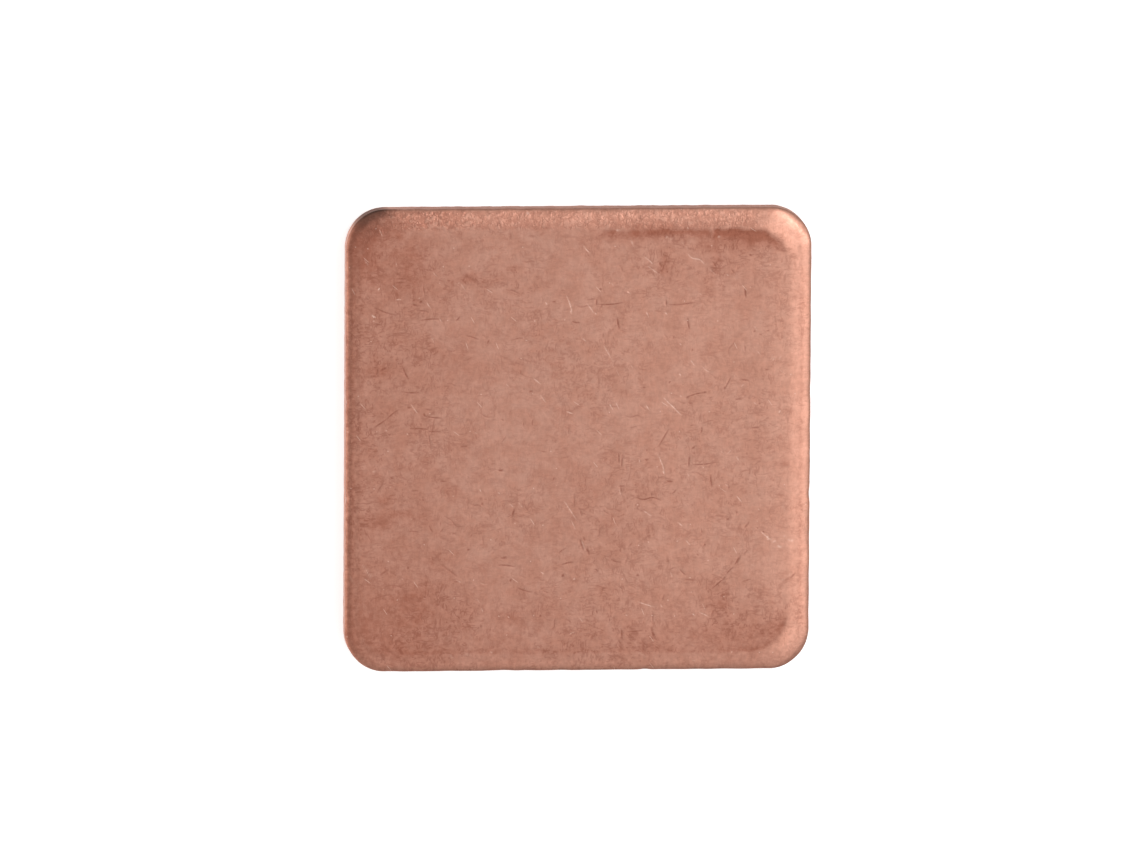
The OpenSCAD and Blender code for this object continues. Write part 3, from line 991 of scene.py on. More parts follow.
    def _roll_brown(self, f: float, x: Array, burnish: Array) -> Array:
        """Finds how brown the roll is by itself, over the stains that run on from the face, with a
        painted shade along the seam on the right.

        Args:
            f: The place across the roll.
            x: The stations' places along X.
            burnish: How much painted highlight of the corners on the right lies on each.

        Returns:
            The brown at each station.
        """
        brown = self.form.along("brown") * smooth(f, *self.BROWNED) * (1.0 - self.RIM(f))
        past = (f - self.form.flank_w - self.SEAM_PAST) / self.SEAM_HALF
        seam = self.SEAM * math.exp(-(past**2)) * smooth(x, *self.SEAM_FROM)
        return brown + seam * (1.0 - burnish)

    def roll(self, f: float, x: Array, y: Array, line: Array) -> dict[str, Array]:
        """Finds how one loop of the roll looks, or of the face beside it.

        Args:
            f: The place across the roll.
            x: The stations' places along X.
            y: Their places along Y.
            line: How strong the stripper's line is at each.

        Returns:
            The rub with painted light, the stain with painted shade, the soot with painted dark
            reflection, the soil with the back left corner's painted shade, and the bareness with
            the pale painted highlight of the corners on the right, by name.
        """
        # A painted highlight at the two corners on the right, where the light falls
        burnish = smooth(f, *self.BURNISHED) * total(self.BURNISH, x, y)
        rub = self._roll_rub(f, x, y, burnish)
        stain = self.stain(x, y) * (1.0 - self.WIPED * smooth(f, *self.ROLLED) * rub)
        stain = stain + self._roll_brown(f, x, burnish) + self.LINE_STAIN * line
        sooted = smooth(f + self.CORNER_LEAD * self.form.round_right(), *self.SOOTED)
        # Soot along the rim and the line, with painted dark reflection at the rim and painted shade at
        # the back left corner
        soot = self.form.along("soot") * sooted + self.LINE_SOOT * line + self.corner_soot(f)
        bared = smooth(f, *self.BARED) * smooth(f, *self.COVERED)
        return {
            "rub": rub,
            "stain": np.clip(stain, 0.0, 1.0),
            "soot": np.clip(soot, 0.0, 1.0),
            # The soil also holds the back left corner's painted shade
            "soil": self.LINE_SOIL * line + self.grime(x, y),
            "bare": self.BURNISH_BARE * burnish * bared,
        }


@dataclass
class StripperLine:
    """The shallow line that the stripper pressed in where the roll begins, darkened by dirt.

    Its place and the widths over which it fades are measured across the roll, as f is.
    """

    form: SheetForm
    tide: Ripple
    fleck: Ripple
    depth: float = 0.014
    at: float = -0.05
    fade_out: float = 0.08
    fade_in: float = 0.28

    # Along the back it deepens in steps, with one gap, and along the front more evenly
    BACK = (Ramp(0.50, 0.2, 1.2), Ramp(0.22, 2.2, 2.9), Ramp(0.28, 4.30, 4.38))
    BACK_ENDS = (7.0, 6.35)
    GAP, GAP_AT, GAP_HALF = 0.65, 4.27, 0.06
    FRONT = (Ramp(0.30, -6.2, -5.0), Ramp(0.36, 4.3, 5.9))
    BACK_FROM, FRONT_FROM = (5.7, 6.6), (-5.2, -6.2)

    WAVER = 0.02  # how far it wavers
    SPREAD = 0.3  # how unevenly it fades
    CORNER_WIDER, CORNER_WEAKER = 0.5, 0.40  # what becomes of it round the corners on the right

    def _pressed(self, x: Array, y: Array) -> Array:
        """Finds how deep the line is: deepest at the back right, then at the front right.

        Args:
            x: The stations' places along X.
            y: Their places along Y.

        Returns:
            The depth at each, as a part of the greatest.
        """
        gap = self.GAP * np.exp(-(((x - self.GAP_AT) / self.GAP_HALF) ** 2))
        back = total(self.BACK, x) * (1.0 - gap) * smooth(x, *self.BACK_ENDS)
        return back * smooth(y, *self.BACK_FROM) + total(self.FRONT, x) * smooth(y, *self.FRONT_FROM)

    def strength(self, f: float, x: Array, y: Array) -> Array:
        """Finds how strong the line is on one loop.

        Args:
            f: The loop's place across the roll.
            x: The stations' places along X.
            y: Their places along Y.

        Returns:
            The strength at each station, from 0 to 1.
        """
        round_right = self.form.round_right()
        beyond = f - self.at - self.WAVER * self.fleck(x, y)
        fade_in = self.fade_in * (1.0 + self.SPREAD * self.tide(x, y))
        fade_in = fade_in * (1.0 + self.CORNER_WIDER * round_right)
        wide = np.where(beyond > 0.0, self.fade_out, fade_in)
        line = np.exp(-((beyond / wide) ** 2)) * self._pressed(x, y)
        return line * (1.0 - self.CORNER_WEAKER * round_right)


@dataclass(frozen=True)
class Nick:
    """A small blow on the outline, in millimetres: its place along a side, its size and depth."""

    side: Side
    place: float
    size: float
    depth: float

    def middle(self, form: SheetForm) -> tuple[float, float]:
        """Finds its middle in plan.

        Args:
            form: The sheet's form.

        Returns:
            The place along X, and along Y.
        """
        return {
            Side.RIGHT: (form.half_l, self.place),
            Side.BACK: (self.place, form.half_w),
            Side.LEFT: (-form.half_l, self.place),
            Side.FRONT: (self.place, -form.half_w),
        }[self.side]


@dataclass
class Skin:
    """The vertices of the sheet's surface, in millimetres, with what the finish reads at each."""

    place: Array
    values: dict[str, Array]


@dataclass
class PunchedSheet:
    """The sheet as one closed mesh: its face, the roll, the wall and the underside.

    Lengths are in millimetres, but for face_in, which is how many widths of the roll the first
    loop lies inside it. The face's level is top_gap below the solid's, to leave room for relief.
    """

    form: SheetForm
    face_pitch: float = 0.088
    under_pitch: float = 0.3
    face_in: float = 0.75
    face_rings: int = 9
    roll_rings: int = 26
    band_rings: int = 6
    torn_rings: int = 9
    arris_rings: int = 3
    top_gap: float = 0.010
    seed: int = 5

    NAME = "copper_sheet_skin"
    NODE = "copper_sheet"
    SLOT = "tarnished_copper"
    VALUES = ("rub", "soot", "stain", "soil", "bare", "torn", "grain")

    BORDER = 0.5  # how wide a border of the face has none of the scattered scratches
    MARK_REACH = 0.3  # how far beside a scratch the points are that it may move
    RIPPLE_RISE, DIMPLE_RISE = 0.0016, 0.0005
    GRAIN_RISE, UNDER_RISE = 0.0018, 0.0008
    CROWDING = 1.7  # how strongly the roll's loops crowd towards the outline
    NICKED_FROM = 0.7  # the place across the roll from which the nicks draw it in
    WORN_IN = 0.004  # how far wear alone has drawn the outline in
    NICKS = (
        Nick(Side.LEFT, 1.25, 0.16, 0.030),
        Nick(Side.LEFT, -1.90, 0.10, 0.045),
        Nick(Side.FRONT, 2.20, 0.18, 0.025),
        Nick(Side.FRONT, -2.30, 0.25, 0.020),
        Nick(Side.RIGHT, -1.80, 0.20, 0.025),
        Nick(Side.BACK, -0.60, 0.30, 0.012),
    )

    UNEVEN = 0.05  # how unevenly the roll drops, as a part of its drop
    GRAINY, SMOOTHED = (-0.05, 0.15), (1.0, 0.85)  # where the grain comes in and goes out
    CALM_RIGHT, COARSE_LEFT = Ramp(0.75, 5.4, 6.4), Ramp(0.6, -3.0, -5.0)  # how it changes along

    WALL_IN = 0.006  # how far the torn band lies inside the solid's, to leave room for its relief
    BAND_IN = 0.002  # the same for the foot of the burnished band
    TORN_ROUGH = 0.012
    RAGGED = ((0.37, 0.030), (1.3, 0.012))  # the torn line's waves: how close, and how high
    TEAR_LEAN, TEAR_CLOSE = 0.7, 3.0  # how the tears slant, and how close they lie down the wall
    SMOOTH_FOOT = 0.9  # how far down the torn band its roughness stops fading
    SOOTY_WALL = 1.25  # how much more the back left corner's painted shade shows on the wall
    BAND_FADE = 0.35  # how much of the rim's soot and painted dark reflection goes on the way down the burnished band
    TORN_SOOT, TORN_FADE = 0.50, 0.30  # the share of the rim's soot and painted dark reflection that the torn band has, and loses
    CORNER_FADE = 0.40  # how much of the back left corner's painted shade goes on the way down the torn band
    TORN_RUB, ARRIS_RUB, UNDER_RUB = 0.6, 0.7, 0.15
    UNDER_STAIN = 0.4  # how strong the underside's stains are beside the face's

    CLEAR = 0.03  # how near a scratch may come to the loop that bounds the face
    ROW = 0.866  # the spacing of the rows of points that fill a loop, as a part of the pitch
    JITTER = 0.12  # how far each of them is moved at random, likewise
    RIM = 0.6  # how far inside the loop they keep, likewise
    NEAREST = 1e-7  # how near two points may lie before they become one
    INSIDE = 1  # the triangulation's setting that keeps only what is inside the loop

    def __post_init__(self) -> None:
        """Draws the sheet's random fields and lays its marks."""
        self.ripple = Ripple(3.2, self.seed)
        self.dimple = Ripple(0.9, self.seed + 1)
        self.grain = Ripple(0.24, self.seed + 2)
        self.tear = Ripple(0.16, self.seed + 3)
        self.tide = Ripple(1.6, self.seed + 4)
        self.fleck = Ripple(0.5, self.seed + 5)
        self.tarnish = Tarnish(self.form, self.tide, self.fleck)
        self.line = StripperLine(self.form, self.tide, self.fleck)
        reach = min(self.form.half_l, self.form.half_w) - self.BORDER
        self.marks = Handling(reach).scratches()

    def _skin(self, xy: Array, z: Array, **known: Array | float) -> Skin:
        """Joins some points with the finish's values, which are all 0 but those given."""
        values = {name: np.broadcast_to(known.get(name, 0.0), len(xy)) for name in self.VALUES}
        return Skin(np.column_stack([xy, z]), values)

    def _face_height(self, x: Array, y: Array) -> Array:
        """How far the face rises and falls by itself, before the scratches."""
        return self.RIPPLE_RISE * self.ripple(x, y) + self.DIMPLE_RISE * self.dimple(x, y)

    def _mark(self, x: Array, y: Array) -> tuple[Array, Array, Array]:
        """Finds what the scratches do to each point of the top.

        Args:
            x: The points' places along X.
            y: The points' places along Y.

        Returns:
            The move up or down, how soiled each point is, and how bare.
        """
        xy = np.stack([x, y], axis=1)
        lift, soil, bare = np.zeros(len(x)), np.zeros(len(x)), np.zeros(len(x))
        for mark in self.marks:
            near = np.hypot(x - mark.x, y - mark.y) < mark.length / 2.0 + self.MARK_REACH
            if not near.any():
                continue
            strength, move = mark.press(xy[near])
            lift[near] += move
            shown = soil if mark.mark is Mark.SOILED else bare
            shown[near] = np.maximum(shown[near], strength)
        return lift, soil, bare

    def _roll_grain(self, f: float, x: Array) -> Array:
        """Finds how coarse the grain is that the bending drew out on the roll.

        Args:
            f: The place across the roll.
            x: The stations' places along X.

        Returns:
            The coarseness at each station.
        """
        across = smooth(f, *self.GRAINY) * smooth(f, *self.SMOOTHED)
        along = (1.0 - self.CALM_RIGHT(x)) * (1.0 + self.COARSE_LEFT(x))
        return self.form.along("grain") * across * along

    def _nicks(self) -> Array:
        """Finds how far the outline is knocked in, by wear and a few small blows.

        Returns:
            The distance at each station.
        """
        x, y = self.form.ring(1.0).T
        worn = self.WORN_IN * (1.0 + np.clip(self.dimple(x, y), -1.0, 2.0))
        for nick in self.NICKS:
            middle_x, middle_y = nick.middle(self.form)
            gap = np.hypot(x - middle_x, y - middle_y) / nick.size
            worn = worn + nick.depth * np.exp(-gap * gap)
        return worn

    def _uneven_drop(self, x: Array, y: Array) -> Array:
        """The drop of the roll at each station, with the unevenness of a real one."""
        return self.form.drop() * (1.0 + self.UNEVEN * self.tide(x, y))

    def _top_ring(self, f: float) -> Skin:
        """Makes one loop of the top, on the face or on the roll.

        Args:
            f: The place across the roll.

        Returns:
            The loop.
        """
        form = self.form
        xy = form.ring(f)
        x, y = xy.T
        lift, soil, bare = self._mark(x, y)
        line = self.line.strength(f, x, y)
        grain = self._roll_grain(f, x)
        look = self.tarnish.roll(f, x, y, line)
        z = form.thickness - self.top_gap + self._face_height(x, y) * (1.0 - max(f, 0.0))
        z = z - self._uneven_drop(x, y) * form.fall(f)
        z = z + lift - self.line.depth * line + self.GRAIN_RISE * self.grain(x, y) * grain
        inward = self._nicks() * max(f - self.NICKED_FROM, 0.0) / (1.0 - self.NICKED_FROM)
        look["soil"] = np.clip(soil + look["soil"], 0.0, 1.0)
        look["bare"] = np.maximum(bare, look["bare"])
        return self._skin(xy - form.outward() * inward[:, None], z, grain=grain, **look)

    def _wall_ring(self, inward: Array | float, z: Array | float, **known: Array | float) -> Skin:
        """Makes one loop of the wall.

        Args:
            inward: How far inside the outline it lies.
            z: Its height over the floor.
            **known: The finish's values.

        Returns:
            The loop.
        """
        count = self.form.count
        inward = np.broadcast_to(inward, count)[:, None]
        xy = self.form.ring(1.0) - self.form.outward() * inward
        return self._skin(xy, np.broadcast_to(z, count), **known)

    def _ragged(self) -> Array:
        """The height at each station at which the metal tore, a ragged line."""
        xy = self.form.ring(1.0).T
        return self.form.torn_h + sum(high * self.tear(*(xy * close)) for close, high in self.RAGGED)

    def _burnished_band(self) -> list[Skin]:
        """Makes the upright band that the die has burnished.

        Returns:
            Its loops, from the roll down.
        """
        form = self.form
        top = form.thickness - self.top_gap - self._uneven_drop(*form.ring(1.0).T)
        # The rim's soot and painted dark reflection run on down the band, fading
        foot, nicks, soot = self._ragged(), self._nicks(), form.along("soot")
        # The back left corner's painted shade, carried down the wall
        sooty_corner = self.SOOTY_WALL * self.tarnish.corner_soot(1.0)
        return [
            self._wall_ring(
                nicks * (1.0 - t) + self.BAND_IN,
                top + (foot - top) * t,
                rub=1.0,
                torn=0.5 if t == 1.0 else 0.0,
                soot=np.maximum(soot * (1.0 - self.BAND_FADE * t), sooty_corner),
            )
            for t in (i / self.band_rings for i in range(1, self.band_rings + 1))
        ]

    def _torn_band(self) -> list[Skin]:
        """Makes the torn band, which leans in and is rough.

        Returns:
            Its loops, from the burnished band down.
        """
        form = self.form
        top, run, soot = self._ragged(), form.run(), form.along("soot")
        # The back left corner's painted shade, carried down the wall
        sooty_corner = self.SOOTY_WALL * self.tarnish.corner_soot(1.0)
        loops = []
        for i in range(1, self.torn_rings + 1):
            t = i / self.torn_rings
            z = top + (form.arris - top) * t
            rough = self.tear(run + self.TEAR_LEAN * z, self.TEAR_CLOSE * z) * self.TORN_ROUGH
            rough = np.abs(rough * math.sin(math.pi * min(t, self.SMOOTH_FOOT)))
            sooty = np.maximum(
                soot * (self.TORN_SOOT - self.TORN_FADE * t),
                sooty_corner * (1.0 - self.CORNER_FADE * t),
            )
            inward = self.WALL_IN + form.torn_in * t + rough
            loops.append(self._wall_ring(inward, z, rub=self.TORN_RUB, torn=1.0, soot=sooty))
        return loops

    def _arris(self) -> list[Skin]:
        """Makes the broken arris of the underside.

        Returns:
            Its loops, from the torn band down.
        """
        form = self.form
        loops = []
        for i in range(1, self.arris_rings + 1):
            t = i / self.arris_rings
            turn = t * math.pi / 2.0
            inward = form.torn_in + form.arris * (1.0 - math.cos(turn)) + self.WALL_IN
            z = form.arris * (1.0 - math.sin(turn))
            loops.append(self._wall_ring(inward, z, rub=self.ARRIS_RUB, torn=1.0 - t))
        return loops

    def _strew(self, loop: Array, depth: Callable[[Array], Array], pitch: float) -> Array:
        """Strews points over the inside of a loop, in rows that aren't quite even.

        Args:
            loop: The loop's points in plan.
            depth: Tells how far inside the loop each of some points lies.
            pitch: The spacing of the points.

        Returns:
            The points in plan.
        """
        rng = np.random.default_rng(self.seed)
        low, high = loop.min(axis=0), loop.max(axis=0)
        columns = int((high[0] - low[0]) / pitch)
        rows = int((high[1] - low[1]) / (pitch * self.ROW))
        across, up = np.meshgrid(np.arange(columns + 1), np.arange(rows + 1))
        x = low[0] + (across + 0.5 * (up % 2)) * pitch
        y = low[1] + up * pitch * self.ROW
        inside = np.stack([x.ravel(), y.ravel()], axis=1)
        inside = inside + rng.uniform(-self.JITTER, self.JITTER, inside.shape) * pitch
        return inside[depth(inside) > pitch * self.RIM]

    def _fill(
        self, loop: Array, depth: Callable[[Array], Array], pitch: float, marks: list[Scratch]
    ) -> tuple[Array, Faces]:
        """Fills a closed loop with triangles.

        Args:
            loop: The loop's points in plan.
            depth: Tells how far inside the loop each of some points lies.
            pitch: The spacing of the points inside it.
            marks: Scratches whose middle line and lips get points of their own.

        Returns:
            The new points, and triangles that number the loop's points first, then the new ones.
        """
        points = [Vector(p) for p in loop]
        count = len(points)
        edges = [(i, (i + 1) % count) for i in range(count)]
        for mark in marks:
            for aside in (-mark.half_width, 0.0, mark.half_width):
                path = mark.path(aside)
                path = path[depth(path) > self.CLEAR]
                if len(path) < 2:
                    continue
                edges.extend((len(points) + i, len(points) + i + 1) for i in range(len(path) - 1))
                points.extend(Vector(p) for p in path)
        points.extend(Vector(p) for p in self._strew(loop, depth, pitch))
        made = delaunay_2d_cdt(points, edges, [], self.INSIDE, self.NEAREST, True)
        verts, _, faces, origins, _, _ = made
        number, fresh = {}, []
        for i, (vert, origin) in enumerate(zip(verts, origins, strict=True)):
            kept = [o for o in origin if o < count]
            if kept:
                number[i] = kept[0]
            else:
                number[i] = count + len(fresh)
                fresh.append((vert.x, vert.y))
        return np.array(fresh), [tuple(number[i] for i in face) for face in faces]

    def _face(self, loop: Array) -> tuple[Skin, Faces]:
        """Makes the face inside the first loop, with its scratches.

        Args:
            loop: The loop's points.

        Returns:
            The new points, and the triangles, numbered as in _fill.
        """
        form = self.form
        new, triangles = self._fill(
            loop[:, :2], lambda xy: form.depth_in(xy, -self.face_in), self.face_pitch, self.marks
        )
        x, y = new.T
        lift, soil, bare = self._mark(x, y)
        z = form.thickness - self.top_gap + self._face_height(x, y) + lift
        # The face's soil also holds the back left corner's painted shade
        soil = np.clip(soil + self.tarnish.grime(x, y), 0.0, 1.0)
        # The face is brighter towards the right, partly rub and partly painted light
        rub, stain = self.tarnish.face_rub(x), self.tarnish.stain(x, y)
        return self._skin(new, z, rub=rub, stain=stain, soil=soil, bare=bare), triangles

    def _underside(self, loop: Array) -> tuple[Skin, Faces]:
        """Makes the underside inside the last loop, with a fainter tarnish.

        Args:
            loop: The loop's points.

        Returns:
            The new points, and the triangles, numbered as in _fill.
        """
        form = self.form
        foot = form.torn_in + form.arris + self.WALL_IN
        new, triangles = self._fill(
            loop[:, :2], lambda xy: form.depth_in(xy, 1.0) - foot, self.under_pitch, []
        )
        x, y = new.T
        z = self.UNDER_RISE * (1.0 + np.clip(self.ripple(-x, y), -1.0, 2.0))
        stain = self.UNDER_STAIN * self.tarnish.stain(-x, y)
        return self._skin(new, z, rub=self.UNDER_RUB, stain=stain), [t[::-1] for t in triangles]

    def _loops(self) -> list[Skin]:
        """Makes every loop, from the face over the roll and down the wall to the underside.

        Returns:
            The loops in that order.
        """
        steps = np.linspace(-self.face_in, 0.0, self.face_rings, endpoint=False)
        curve = 1.0 - (1.0 - np.linspace(0.0, 1.0, self.roll_rings)) ** self.CROWDING
        top = [self._top_ring(float(f)) for f in (*steps, *curve)]
        return [*top, *self._burnished_band(), *self._torn_band(), *self._arris()]

    def _bands(self, loops: int) -> Faces:
        """Joins each loop to the next one with a band of faces.

        Args:
            loops: How many loops there are.

        Returns:
            The faces.
        """
        count = self.form.count
        faces = []
        for r in range(loops - 1):
            a, b = r * count, (r + 1) * count
            for i in range(count):
                j = (i + 1) % count
                faces.append((a + i, b + i, b + j, a + j))
        return faces

    def _numbered(self, triangles: Faces, loop: int, new: int) -> Faces:
        """Numbers triangles from _fill anew, from the first point of the loop and of its inside."""
        count = self.form.count
        return [tuple(loop + i if i < count else new + i - count for i in t) for t in triangles]

    def build(self) -> bpy.types.Object:
        """Makes the mesh.

        Returns:
            The sheet, in metres, in the model's frame.
        """
        loops = self._loops()
        face, face_triangles = self._face(loops[0].place)
        under, under_triangles = self._underside(loops[-1].place)
        inner = len(loops) * self.form.count
        faces = self._bands(len(loops))
        faces += self._numbered(face_triangles, 0, inner)
        faces += self._numbered(under_triangles, inner - self.form.count, inner + len(face.place))
        skins = [*loops, face, under]
        place = np.concatenate([s.place for s in skins])
        place[:, 2] *= self.form.thickness / place[:, 2].max()
        mesh = bpy.data.meshes.new(self.NAME)
        mesh.from_pydata((place * MM).tolist(), [], faces)
        for name in self.VALUES:
            layer = mesh.attributes.new(name, "FLOAT", "POINT")
            layer.data.foreach_set("value", np.concatenate([s.values[name] for s in skins]))
        mesh.shade_smooth()
        mesh.update()
        sheet = bpy.data.objects.new(self.NAME, mesh)
        bpy.context.scene.collection.objects.link(sheet)
        return sheet

    def dress(self, sheet: bpy.types.Object, finish: "TarnishedCopper") -> None:
        """Gives the sheet its finish and puts it in the solid's place.

        Args:
            sheet: The mesh that build made.
            finish: The finish that it wears.
        """
        sheet.data.materials.append(finish.build())
        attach(sheet, "root")
        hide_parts(self.NODE)


class Bench:
    """Lays the nodes of a material or a world, and joins them."""

    def __init__(self, tree: bpy.types.NodeTree) -> None:
        """Clears the tree that the nodes go in."""
        tree.nodes.clear()
        self.tree = tree

    def lay(self, kind: str, settings: dict | None = None, **inputs: object) -> bpy.types.Node:
        """Lays one node.

        Args:
            kind: The node's type.
            settings: Its properties.
            **inputs: Its sockets by name, with underscores for spaces, each a link or a value.

        Returns:
            The node.
        """
        node = self.tree.nodes.new(kind)
        for name, value in (settings or {}).items():
            setattr(node, name, value)
        for name, value in inputs.items():
            self.join(value, node.inputs[name.replace("_", " ")])
        return node

    def join(self, value: object, socket: Socket) -> None:
        """Links a socket to another, or sets its value.

        Args:
            value: The other socket, or the value.
            socket: The socket that takes it.
        """
        if isinstance(value, bpy.types.NodeSocket):
            self.tree.links.new(value, socket)
        else:
            socket.default_value = value

    def math(self, operation: str, a: Value, b: Value = 0.0) -> Socket:
        """Works out one sum on numbers.

        Args:
            operation: The node's operation.
            a: The first number.
            b: The second, where the operation has one.

        Returns:
            The result.
        """
        node = self.lay("ShaderNodeMath", {"operation": operation})
        self.join(a, node.inputs[0])
        self.join(b, node.inputs[1])
        return node.outputs[0]

    def times(self, *values: Value) -> Socket:
        """The product of some numbers."""
        return reduce(lambda a, b: self.math("MULTIPLY", a, b), values)

    def plus(self, *values: Value) -> Socket:
        """The sum of some numbers."""
        return reduce(lambda a, b: self.math("ADD", a, b), values)

    def most(self, *values: Value) -> Socket:
        """The greatest of some numbers."""
        return reduce(lambda a, b: self.math("MAXIMUM", a, b), values)

    def vector(self, operation: str, a: object, b: object) -> Socket:
        """Works out one sum on vectors.

        Args:
            operation: The node's operation.
            a: The first vector.
            b: The second.

        Returns:
            A vector, or a number for a dot product.
        """
        node = self.lay("ShaderNodeVectorMath", {"operation": operation})
        self.join(a, node.inputs[0])
        self.join(b, node.inputs[1])
        return node.outputs["Value" if operation == "DOT_PRODUCT" else "Vector"]

    def ease(
        self, value: Value, low: float, high: float, first: float = 0.0, last: float = 1.0
    ) -> Socket:
        """Eases a number from one level to another.

        Args:
            value: The number.
            low: Where the ease starts.
            high: Where it ends. It may be less than low.
            first: The level at low.
            last: The level at high.

        Returns:
            The eased number.
        """
        node = self.lay("ShaderNodeMapRange", {"interpolation_type": "SMOOTHSTEP"}, Value=value)
        for name, given in (
            ("From Min", low),
            ("From Max", high),
            ("To Min", first),
            ("To Max", last),
        ):
            self.join(given, node.inputs[name])
        return node.outputs["Result"]

    def paint(self, cover: Value, under: object, over: Colour) -> Socket:
        """Lays one colour over another.

        Args:
            cover: How fully it covers, from 0 to 1.
            under: The colour below, a socket or four numbers.
            over: The colour that is laid on.

        Returns:
            The mixed colour.
        """
        node = self.lay("ShaderNodeMix", {"data_type": "RGBA"}, Factor=cover)
        self.join(under, node.inputs["A"])
        self.join((*over, 1.0), node.inputs["B"])
        return node.outputs["Result"]

    def noise(
        self, where: Socket, scale: float, detail: float = 2.0, roughness: float = 0.6
    ) -> Socket:
        """Lays a cloudy pattern.

        Args:
            where: The place that it is read at.
            scale: How many crests there are to one unit, about.
            detail: How many finer layers lie on the first.
            roughness: How strong each layer is beside the one before.

        Returns:
            The pattern, from 0 to 1.
        """
        node = self.lay(
            "ShaderNodeTexNoise", Vector=where, Scale=scale, Detail=detail, Roughness=roughness
        )
        return node.outputs["Fac"]

    def attribute(self, name: str) -> Socket:
        """A value that the mesh carries."""
        return self.lay("ShaderNodeAttribute", {"attribute_name": name}).outputs["Fac"]


@dataclass(frozen=True)
class Hairs:
    """A scatter of short fine marks, at most one to each cell of a ragged grid.

    Sizes are in millimetres and angles in degrees. The share is the part of the cells that have
    a mark.
    """

    cell: float
    angle: float
    spread: float
    length: float
    width: float
    share: float
    seed: float

    BOW = 0.25
    SHIFT = (3.7, -5.3, 0.0)  # how far the seed moves the grid
    ACROSS = (0.3, 1.3)  # where a mark fades out across it, in half widths
    ALONG = 0.4  # where it starts to fade along it, in half lengths
    STRONG = 0.6  # the part of the marks that are at full strength

    def lay(self, bench: Bench, place: Socket) -> Socket:
        """Lays the pattern's nodes.

        Args:
            bench: Where they go.
            place: The place on the sheet, in millimetres.

        Returns:
            How strongly each point is marked, from 0 to 1.
        """
        cells = bench.vector("MULTIPLY", place, (1.0 / self.cell,) * 3)
        cells = bench.vector("ADD", cells, [self.seed * shift for shift in self.SHIFT])
        flat = {"voronoi_dimensions": "2D", "feature": "F1"}
        nearest = bench.lay("ShaderNodeTexVoronoi", flat, Vector=cells, Scale=1.0).outputs
        draw = bench.lay("ShaderNodeSeparateColor", Color=nearest["Color"]).outputs
        gap = bench.vector("SUBTRACT", cells, nearest["Position"])
        gap = bench.lay("ShaderNodeSeparateXYZ", Vector=gap).outputs
        turn = bench.times(bench.math("SUBTRACT", draw[0], 0.5), math.radians(self.spread) * 2.0)
        turn = bench.plus(turn, math.radians(self.angle))
        cos, sin = bench.math("COSINE", turn), bench.math("SINE", turn)
        along = bench.plus(bench.times(gap[0], cos), bench.times(gap[1], sin))
        across = bench.math("SUBTRACT", bench.times(gap[1], cos), bench.times(gap[0], sin))
        bend = bench.times(bench.math("SUBTRACT", draw[2], 0.5), 2.0 * self.BOW)
        across = bench.plus(across, bench.times(along, along, bend))
        half = self.length / self.cell / 2.0
        thin = self.width / self.cell / 2.0
        fade = [thin * at for at in self.ACROSS]
        body = bench.ease(bench.math("ABSOLUTE", across), *fade, 1.0, 0.0)
        ends = bench.ease(bench.math("ABSOLUTE", along), half * self.ALONG, half, 1.0, 0.0)
        return bench.times(body, ends, bench.ease(draw[1], self.share, self.share * self.STRONG))


@dataclass(frozen=True)
class Curls:
    """A scatter of thin curling hairs of dirt: broken pieces of a field's level line.

    The stretch and the break rate are crests to a millimetre, the width is a part of the
    field's height, and the share is the part of the line that shows.
    """

    stretch: tuple[float, float]
    width: float
    break_rate: float
    share: float
    seed: float

    SHIFT = (13.1, -7.7, 0.0)  # how far the seed moves the field
    FIELD = (1.0, 2.0, 0.55)  # its scale once stretched, its finer layers and their strength
    EDGE = (-0.04, 0.06)  # how softly a piece of the line begins and ends
    FINE = 2.0  # how sharply the line stands out

    def lay(self, bench: Bench, place: Socket) -> Socket:
        """Lays the pattern's nodes.

        Args:
            bench: Where they go.
            place: The place on the sheet, in millimetres.

        Returns:
            How strongly each point is marked, from 0 to 1.
        """
        moved = bench.vector("ADD", place, [self.seed * shift for shift in self.SHIFT])
        field_at = bench.vector("MULTIPLY", moved, (*self.stretch, 1.0))
        level = bench.math("SUBTRACT", bench.noise(field_at, *self.FIELD), 0.5)
        line = bench.ease(bench.math("ABSOLUTE", level), 0.0, self.width, 1.0, 0.0)
        breaks = [1.0 - self.share + edge for edge in self.EDGE]
        kept = bench.ease(bench.noise(moved, self.break_rate), *breaks)
        return bench.times(bench.math("POWER", line, self.FINE), kept)


